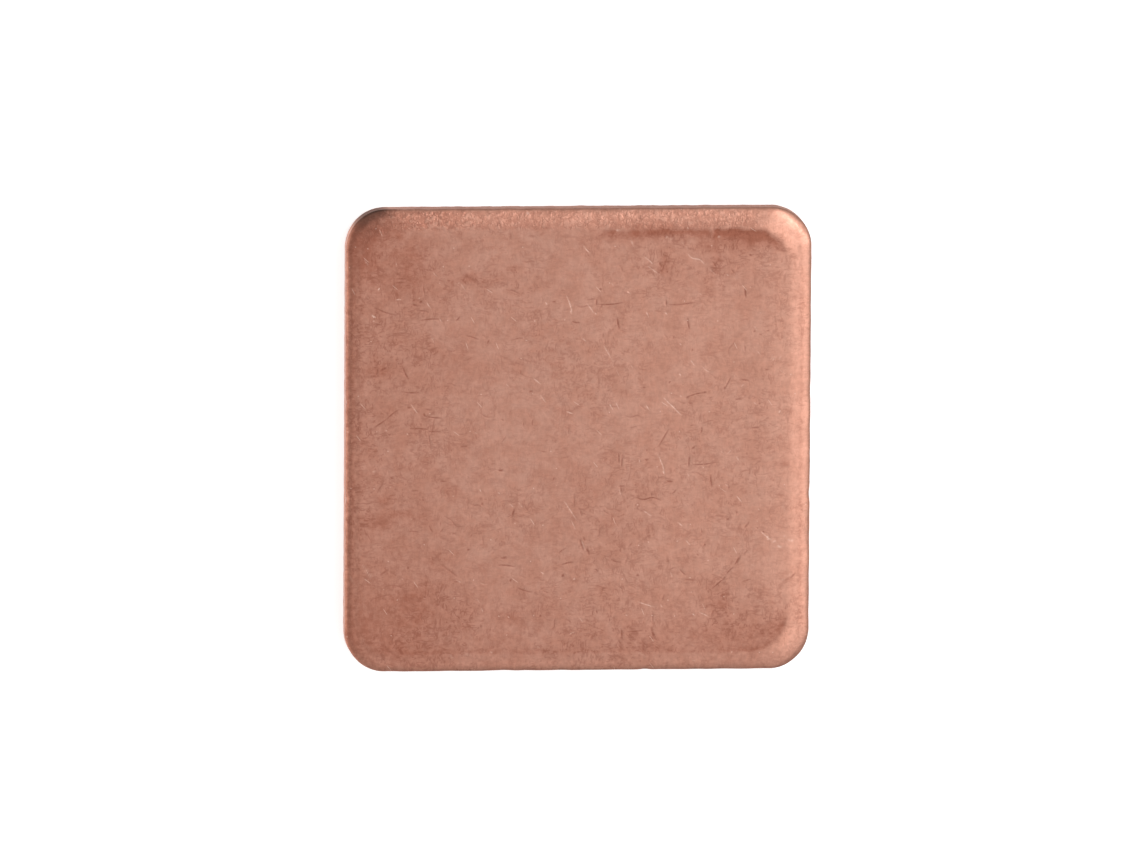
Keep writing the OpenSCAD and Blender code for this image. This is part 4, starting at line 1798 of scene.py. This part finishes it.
@dataclass(frozen=True)
class TarnishedCopper:
    """Copper dulled in the air, with the roll and wall rubbed brighter, and painted light and shade in
    its colour.
    """

    film: Colour = (0.552, 0.288, 0.216)
    ruddy: Colour = (0.526, 0.256, 0.185)
    # Brown, which also paints the shade that the stain values carry
    brown: Colour = (0.400, 0.146, 0.094)
    # Rubbed copper, which also paints the light on the face's right and on the roll
    rubbed: Colour = (0.850, 0.434, 0.318)
    # Dirt, which also paints the shade in the back left corner
    dirt: Colour = (0.270, 0.084, 0.054)
    # Soot, which also paints the dark reflection along the rim and the shade at the back left corner
    soot: Colour = (0.084, 0.041, 0.031)
    # Bare metal, which also paints the pale highlight at the corners on the right
    scraped: Colour = (0.980, 0.680, 0.560)
    torn: Colour = (0.620, 0.300, 0.215)

    DIRT = (
        Curls((1.1, 3.2), 0.075, 1.5, 0.42, seed=1),
        Curls((3.2, 1.1), 0.075, 1.5, 0.42, seed=2),
        Curls((2.4, 6.5), 0.110, 3.0, 0.45, seed=3),
        Curls((6.5, 2.4), 0.110, 3.0, 0.45, seed=4),
        Curls((1.9, 4.8), 0.085, 2.4, 0.40, seed=5),
        Hairs(0.42, 10, 90, length=0.070, width=0.050, share=0.35, seed=6),
    )
    BRIGHT = (
        Hairs(0.60, -20, 90, length=0.06, width=0.036, share=0.18, seed=8),
        Hairs(0.95, -50, 25, length=0.30, width=0.024, share=0.22, seed=7),
    )
    PEEL = (
        Curls((5.0, 3.6), 0.16, 3.0, 0.60, seed=9),
        Curls((3.6, 5.0), 0.16, 3.0, 0.60, seed=10),
    )
    # The cloudy patterns: crests to a millimetre, finer layers, and how strong each layer is
    PATTERNS = (
        ("cloud", 1.5, 4.0),
        ("fleck", 7.0, 3.0),
        ("broken", 11.0),
        ("mottle", 4.2, 3.0, 0.62),
        ("crowd", 0.55, 2.0, 0.5),
        ("tear", 14.0, 3.0, 0.7),
    )
    # The rubbing's bends, given as a pattern, and how far they reach
    BENDS, BENT = (0.9, 1.0), (0.9, 0.9, 0.0)
    # The crests to a millimetre along each axis, of the rubbing and of the wall's drag lines
    ROWS, COLUMNS, DRAG = (2.6, 13.0, 2.6), (13.0, 2.6, 2.6), (22.0, 22.0, 0.8)

    # How one thing follows another: from where to where in it, and from how much to how much
    DIRT_BY_CROWD, DIRT_BY_STAIN = (0.36, 0.64, 0.45, 1.0), (0.0, 0.45, 0.34, 0.56)
    SOIL_BROKEN, BARE_BROKEN = (0.34, 0.56, 0.64, 1.0), (0.60, 0.44, 0.40, 1.0)
    ON_FACE, ON_UNDERSIDE = (0.86, 0.96), (0.04, 0.02)  # the heights, in millimetres
    RUDDY_BY_CLOUD, DULL_BY_CLOUD = (0.32, 0.68), (0.3, 0.7, 0.44, 0.50)
    WORN_BY_FLECK = (0.3, 0.7, 0.88, 1.0)
    MOTTLED = (0.46, 0.66, 0.0, 0.10)
    THIN_BY_FLECK, THIN_BY_STAIN = (0.32, 0.66, 0.0, 0.38), (0.60, 1.05, 1.0, 0.15)
    SHADE_BY_RUBBING, SHADE_BY_FLECK = (0.36, 0.64, 0.955, 1.045), (0.30, 0.70, 0.955, 1.045)
    WALL_BY_RUB = (0.97, 1.0)

    # How strongly each thing shows
    FACE_HAIRS, SOIL_POWER = 0.4, 0.80
    MOTTLE_LEAST, MOTTLE_BY_STAIN = 0.8, 1.4
    TORN_COVER, CURL_COVER, SOIL_COVER = 0.8, 0.36, 0.78

    # How much duller or brighter each kind of place is than the film
    DULLNESS = (
        ("stain", 0.05),
        ("rub", -0.08),
        ("torn", 0.14),
        ("soot", 0.25),
        ("soil", 0.10),
        ("bare", -0.10),
    )
    # The finest relief, in millimetres
    RUBBING_RISE, PEEL_RISE, DRAG_RISE, TEAR_RISE, DENT_RISE = 0.0014, -0.0035, 0.0026, 0.03, -0.0014

    def build(self) -> bpy.types.Material:
        """Makes the material.

        Returns:
            A material whose nodes read the sheet's own values.
        """
        material = bpy.data.materials.new("tarnished_copper")
        material.use_nodes = True
        bench = Bench(material.node_tree)
        where = bench.lay("ShaderNodeTexCoord").outputs["Object"]
        place = bench.vector("MULTIPLY", where, (1.0 / MM,) * 3)
        read = {name: bench.attribute(name) for name in PunchedSheet.VALUES}
        read.update({name: bench.noise(place, *pattern) for name, *pattern in self.PATTERNS})
        read["rubbing"] = self._rubbing(bench, place)
        read["curls"] = bench.most(*(peel.lay(bench, place) for peel in self.PEEL))
        read["soil"] = self._dirty(bench, place, read)
        read["bare"] = self._bright(bench, place, read)
        shader = bench.lay(
            "ShaderNodeBsdfPrincipled",
            Metallic=1.0,
            Base_Color=self._colour(bench, read),
            Roughness=self._roughness(bench, read),
            Normal=self._relief(bench, place, read),
        )
        bench.lay("ShaderNodeOutputMaterial", Surface=shader.outputs["BSDF"])
        return material

    def _rubbing(self, bench: Bench, place: Socket) -> Socket:
        """Lays the faint rubbing that runs along and across the sheet.

        Args:
            bench: Where the nodes go.
            place: The place on the sheet, in millimetres.

        Returns:
            The rubbing, from 0 to 1.
        """
        scale, detail = self.BENDS
        bend = bench.lay("ShaderNodeTexNoise", Vector=place, Scale=scale, Detail=detail)
        bend = bench.vector("MULTIPLY", bend.outputs["Color"], self.BENT)
        bent = bench.vector("ADD", place, bend)
        rows = bench.noise(bench.vector("MULTIPLY", bent, self.ROWS), 1.0)
        columns = bench.noise(bench.vector("MULTIPLY", bent, self.COLUMNS), 1.0)
        return bench.times(bench.plus(rows, columns), 0.5)

    def _dirty(self, bench: Bench, place: Socket, read: dict[str, Socket]) -> Socket:
        """Finds where dirt lies: in the scratches, and in fine curls that crowd on the stains.
        The soil that it reads also holds the back left corner's painted shade.

        Args:
            bench: Where the nodes go.
            place: The place on the sheet, in millimetres.
            read: The values that the finish reads, by name.

        Returns:
            The dirt, from 0 to 1.
        """
        crowd = bench.ease(read["crowd"], *self.DIRT_BY_CROWD)
        more = bench.ease(read["stain"], *self.DIRT_BY_STAIN)
        fine = bench.most(*(hairs.lay(bench, place) for hairs in self.DIRT))
        fine = bench.times(crowd, more, fine)
        soiled = bench.math("POWER", read["soil"], self.SOIL_POWER)
        soiled = bench.times(soiled, bench.ease(read["broken"], *self.SOIL_BROKEN))
        return bench.most(fine, soiled)

    def _bright(self, bench: Bench, place: Socket, read: dict[str, Socket]) -> Socket:
        """Finds where the metal is bare: in the bright scratches, and in hairs on the two faces.
        The bareness that it reads also holds the pale painted highlight of the corners on the right.

        Args:
            bench: Where the nodes go.
            place: The place on the sheet, in millimetres.
            read: The values that the finish reads, by name.

        Returns:
            The bareness, from 0 to 1.
        """
        hairs = bench.most(*(hairs.lay(bench, place) for hairs in self.BRIGHT))
        height = bench.lay("ShaderNodeSeparateXYZ", Vector=place).outputs["Z"]
        flat = (bench.ease(height, *face) for face in (self.ON_FACE, self.ON_UNDERSIDE))
        hairs = bench.times(bench.most(*flat), self.FACE_HAIRS, hairs)
        bare = bench.times(read["bare"], bench.ease(read["broken"], *self.BARE_BROKEN))
        return bench.most(hairs, bare)

    def _colour(self, bench: Bench, read: dict[str, Socket]) -> Socket:
        """Mixes the metal's colour in turn: film, rub with painted light, stain with painted shade,
        grain, dirt, scrape with painted highlight, and soot with painted dark reflection.

        Args:
            bench: Where the nodes go.
            read: The values that the finish reads, by name.

        Returns:
            The colour.
        """
        fleck, stain = read["fleck"], read["stain"]
        ruddy = bench.ease(read["cloud"], *self.RUDDY_BY_CLOUD)
        colour = bench.paint(ruddy, (*self.film, 1.0), self.ruddy)
        # The rubbed colour goes where the rub and its painted light are
        worn = bench.times(read["rub"], bench.ease(fleck, *self.WORN_BY_FLECK))
        colour = bench.paint(worn, colour, self.rubbed)
        mottle = bench.plus(bench.times(stain, self.MOTTLE_BY_STAIN), self.MOTTLE_LEAST)
        mottle = bench.times(bench.ease(read["mottle"], *self.MOTTLED), mottle)
        colour = bench.paint(mottle, colour, self.brown)
        thin = bench.ease(fleck, *self.THIN_BY_FLECK)
        thin = bench.times(thin, bench.ease(stain, *self.THIN_BY_STAIN))
        colour = bench.paint(bench.times(stain, bench.math("SUBTRACT", 1.0, thin)), colour, self.brown)
        colour = bench.paint(bench.times(read["torn"], self.TORN_COVER), colour, self.torn)
        curls = bench.times(read["curls"], self.CURL_COVER, read["grain"])
        colour = bench.paint(curls, colour, self.brown)
        shade = bench.times(
            bench.ease(read["rubbing"], *self.SHADE_BY_RUBBING),
            bench.ease(fleck, *self.SHADE_BY_FLECK),
        )
        tint = bench.lay("ShaderNodeCombineXYZ", X=shade, Y=shade, Z=shade).outputs[0]
        colour = bench.vector("MULTIPLY", colour, tint)
        colour = bench.paint(bench.times(read["soil"], self.SOIL_COVER), colour, self.dirt)
        colour = bench.paint(read["bare"], colour, self.scraped)
        return bench.paint(read["soot"], colour, self.soot)

    def _roughness(self, bench: Bench, read: dict[str, Socket]) -> Socket:
        """The roughness: the film is duller than the rubbed roll, and the dark rim of soot and painted
        dark reflection is dullest.
        """
        film = bench.ease(read["cloud"], *self.DULL_BY_CLOUD)
        return bench.plus(film, *(bench.times(read[name], more) for name, more in self.DULLNESS))

    def _relief(self, bench: Bench, place: Socket, read: dict[str, Socket]) -> Socket:
        """Lays the finest relief: the rubbing, the roll's grain and the wall's drag lines.

        Args:
            bench: Where the nodes go.
            place: The place on the sheet, in millimetres.
            read: The values that the finish reads, by name.

        Returns:
            The normal.
        """
        drag = bench.noise(bench.vector("MULTIPLY", place, self.DRAG), 1.0)
        on_wall = bench.ease(read["rub"], *self.WALL_BY_RUB)
        height = bench.plus(
            bench.times(read["rubbing"], self.RUBBING_RISE),
            bench.times(read["grain"], self.PEEL_RISE, read["curls"]),
            bench.times(on_wall, self.DRAG_RISE, drag),
            bench.times(read["torn"], self.TEAR_RISE, read["tear"]),
            bench.times(bench.most(read["soil"], read["bare"]), self.DENT_RISE),
        )
        return bench.lay("ShaderNodeBump", Strength=1.0, Distance=MM, Height=height).outputs["Normal"]


@dataclass(frozen=True)
class TableWhite:
    """A white table top, which shows white to the camera and keeps the sheet's shadow."""

    paint: float = 0.80
    glow: float = 0.60
    left_from: float = -0.004
    left_to: float = -0.009
    left_share: float = 0.65

    def build(self) -> bpy.types.Material:
        """Makes the material, which also shows its white in the sheet's left wall.

        Returns:
            The material.
        """
        material = bpy.data.materials.new("table_white")
        material.use_nodes = True
        bench = Bench(material.node_tree)
        path = bench.lay("ShaderNodeLightPath").outputs
        where = bench.lay("ShaderNodeTexCoord").outputs["Object"]
        across = bench.lay("ShaderNodeSeparateXYZ", Vector=where).outputs["X"]
        on_left = bench.ease(across, self.left_from, self.left_to)
        mirrored = bench.times(path["Is Glossy Ray"], on_left, self.left_share)
        seen = bench.times(bench.most(path["Is Camera Ray"], mirrored), self.glow)
        paint = bench.lay("ShaderNodeBsdfDiffuse", Color=(*(self.paint,) * 3, 1.0))
        glow = bench.lay("ShaderNodeEmission", Color=(1.0, 1.0, 1.0, 1.0), Strength=seen)
        both = bench.lay("ShaderNodeAddShader")
        bench.join(paint.outputs[0], both.inputs[0])
        bench.join(glow.outputs[0], both.inputs[1])
        bench.lay("ShaderNodeOutputMaterial", Surface=both.outputs[0])
        return material


@dataclass(frozen=True)
class Glow:
    """A soft round part of the sky that is brighter or darker than the rest.

    The way is the direction of its middle, and the spread is its radius, in degrees.
    """

    way: tuple[float, float, float]
    spread: float
    light: float

    def lay(self, bench: Bench, way: Socket) -> Socket:
        """The light that it adds in a direction, less than 0 for a dark part."""
        toward = bench.vector("DOT_PRODUCT", way, Vector(self.way).normalized())
        return bench.ease(toward, math.cos(math.radians(self.spread)), 1.0, 0.0, self.light)


@dataclass
class Studio:
    """A white table under a soft sky, brighter at the back right, and the camera over it.

    Sizes are in metres, but for the lens, the width of the view and how far aside the camera
    looks, which are in millimetres. Angles are in degrees.
    """

    table: float = 0.6
    distance: float = 0.6
    rise: float = 80.2
    bearing: float = 121.4
    roll: float = 0.34
    view_width: float = 36.62
    sensor: float = 36.0
    aside: tuple[float, float] = (-0.278, 0.417)
    key_power: float = 0.033
    key_size: float = 0.09
    key_place: tuple[float, float, float] = (0.085, 0.060, 0.085)
    sky_light: float = 0.683
    sky_slope: tuple[float, float] = (0.60, 0.085)
    horizon_light: float = 0.35
    left_light: float = 1.18
    glows: tuple[Glow, ...] = (
        Glow((0.09, -0.145, 0.985), 32.0, 0.32),
        Glow((0.50, 0.26, 0.83), 34.0, 0.62),
        Glow((-0.41, 0.27, 0.80), 42.0, -0.34),
        Glow((-0.33, -0.56, 0.76), 40.0, 0.10),
    )

    NEAREST, FARTHEST = 0.01, 5.0  # what the camera sees
    LOW = (0.62, 0.20)  # from where down to where the sky dims
    FAR_LEFT = (-0.46, -0.86)  # from where to where it brightens to the left

    def floor(self, finish: TableWhite) -> bpy.types.Object:
        """Lays the table top.

        Args:
            finish: The finish that it wears.

        Returns:
            The table top.
        """
        mesh = bpy.data.meshes.new("table_top")
        h = self.table / 2.0
        mesh.from_pydata([(-h, -h, 0.0), (h, -h, 0.0), (h, h, 0.0), (-h, h, 0.0)], [], [(0, 1, 2, 3)])
        mesh.materials.append(finish.build())
        top = bpy.data.objects.new("table_top", mesh)
        bpy.context.scene.collection.objects.link(top)
        return top

    def sky(self) -> None:
        """Makes the world: brighter to the right than to the left, and dim at the horizon."""
        world = bpy.data.worlds.new("studio_sky")
        bpy.context.scene.world = world
        world.use_nodes = True
        bench = Bench(world.node_tree)
        way = bench.lay("ShaderNodeTexCoord").outputs["Generated"]
        slope = bench.vector("DOT_PRODUCT", way, (*self.sky_slope, 0.0))
        light = bench.plus(slope, self.sky_light, *(glow.lay(bench, way) for glow in self.glows))
        parts = bench.lay("ShaderNodeSeparateXYZ", Vector=way).outputs
        low = bench.ease(parts["Z"], *self.LOW)
        light = bench.lay("ShaderNodeMix", Factor=low, A=light, B=self.horizon_light).outputs["Result"]
        left = bench.ease(parts["X"], *self.FAR_LEFT, 0.0, self.left_light)
        light = bench.plus(light, left)
        seen = bench.lay("ShaderNodeLightPath").outputs["Is Camera Ray"]
        light = bench.lay("ShaderNodeMix", Factor=seen, A=light, B=1.0).outputs["Result"]
        back = bench.lay("ShaderNodeBackground", Color=(1.0, 1.0, 1.0, 1.0), Strength=light)
        bench.lay("ShaderNodeOutputWorld", Surface=back.outputs[0])

    def lamp(self) -> None:
        """Hangs the soft lamp over the back right corner."""
        data = bpy.data.lights.new("key_lamp", "AREA")
        data.shape = "DISK"
        data.size = self.key_size
        data.energy = self.key_power
        lamp = bpy.data.objects.new("key_lamp", data)
        lamp.location = self.key_place
        lamp.rotation_euler = (-Vector(self.key_place)).to_track_quat("-Z", "Y").to_euler()
        bpy.context.scene.collection.objects.link(lamp)

    def camera(self, top: float) -> None:
        """Hangs the camera high over the sheet, a little to the back left, with a long lens.

        Args:
            top: The height of the sheet's face, in metres.
        """
        data = bpy.data.cameras.new("camera")
        data.sensor_width = self.sensor
        data.lens = self.distance / (self.view_width * MM) * self.sensor
        data.clip_start = self.NEAREST
        data.clip_end = self.FARTHEST
        rise, bearing = math.radians(self.rise), math.radians(self.bearing)
        level = math.cos(rise)
        back = Vector((level * math.cos(bearing), level * math.sin(bearing), math.sin(rise)))
        up = (Vector((0.0, 1.0, 0.0)) - back * back.y).normalized()
        stand = Matrix((up.cross(back), up, back)).transposed()
        stand = stand @ Matrix.Rotation(math.radians(self.roll), 3, "Z")
        camera = bpy.data.objects.new("camera", data)
        target = Vector((self.aside[0] * MM, self.aside[1] * MM, top))
        camera.matrix_world = Matrix.Translation(target + back * self.distance) @ stand.to_4x4()
        bpy.context.scene.collection.objects.link(camera)
        bpy.context.scene.camera = camera


def main() -> None:
    """Builds the sheet and the studio round it."""
    logging.basicConfig(level=logging.INFO, format="%(name)s: %(message)s")
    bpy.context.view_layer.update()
    low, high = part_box(PunchedSheet.NODE)
    form = SheetForm(
        half_l=(high.x - low.x) / 2.0 / MM,
        half_w=(high.y - low.y) / 2.0 / MM,
        thickness=(high.z - low.z) / MM,
    )
    studio = Studio()
    studio.camera(high.z)
    studio.floor(TableWhite())
    studio.sky()
    studio.lamp()
    sheet_maker = PunchedSheet(form)
    sheet = sheet_maker.build()
    sheet_maker.dress(sheet, TarnishedCopper())
    triangles = sum(len(face.vertices) - 2 for face in sheet.data.polygons)
    LOG.info("%s: %d triangles, %d marks", sheet.name, triangles, len(sheet_maker.marks))
    bpy.context.scene.view_settings.view_transform = "Standard"


if __name__ == "__main__":
    main()
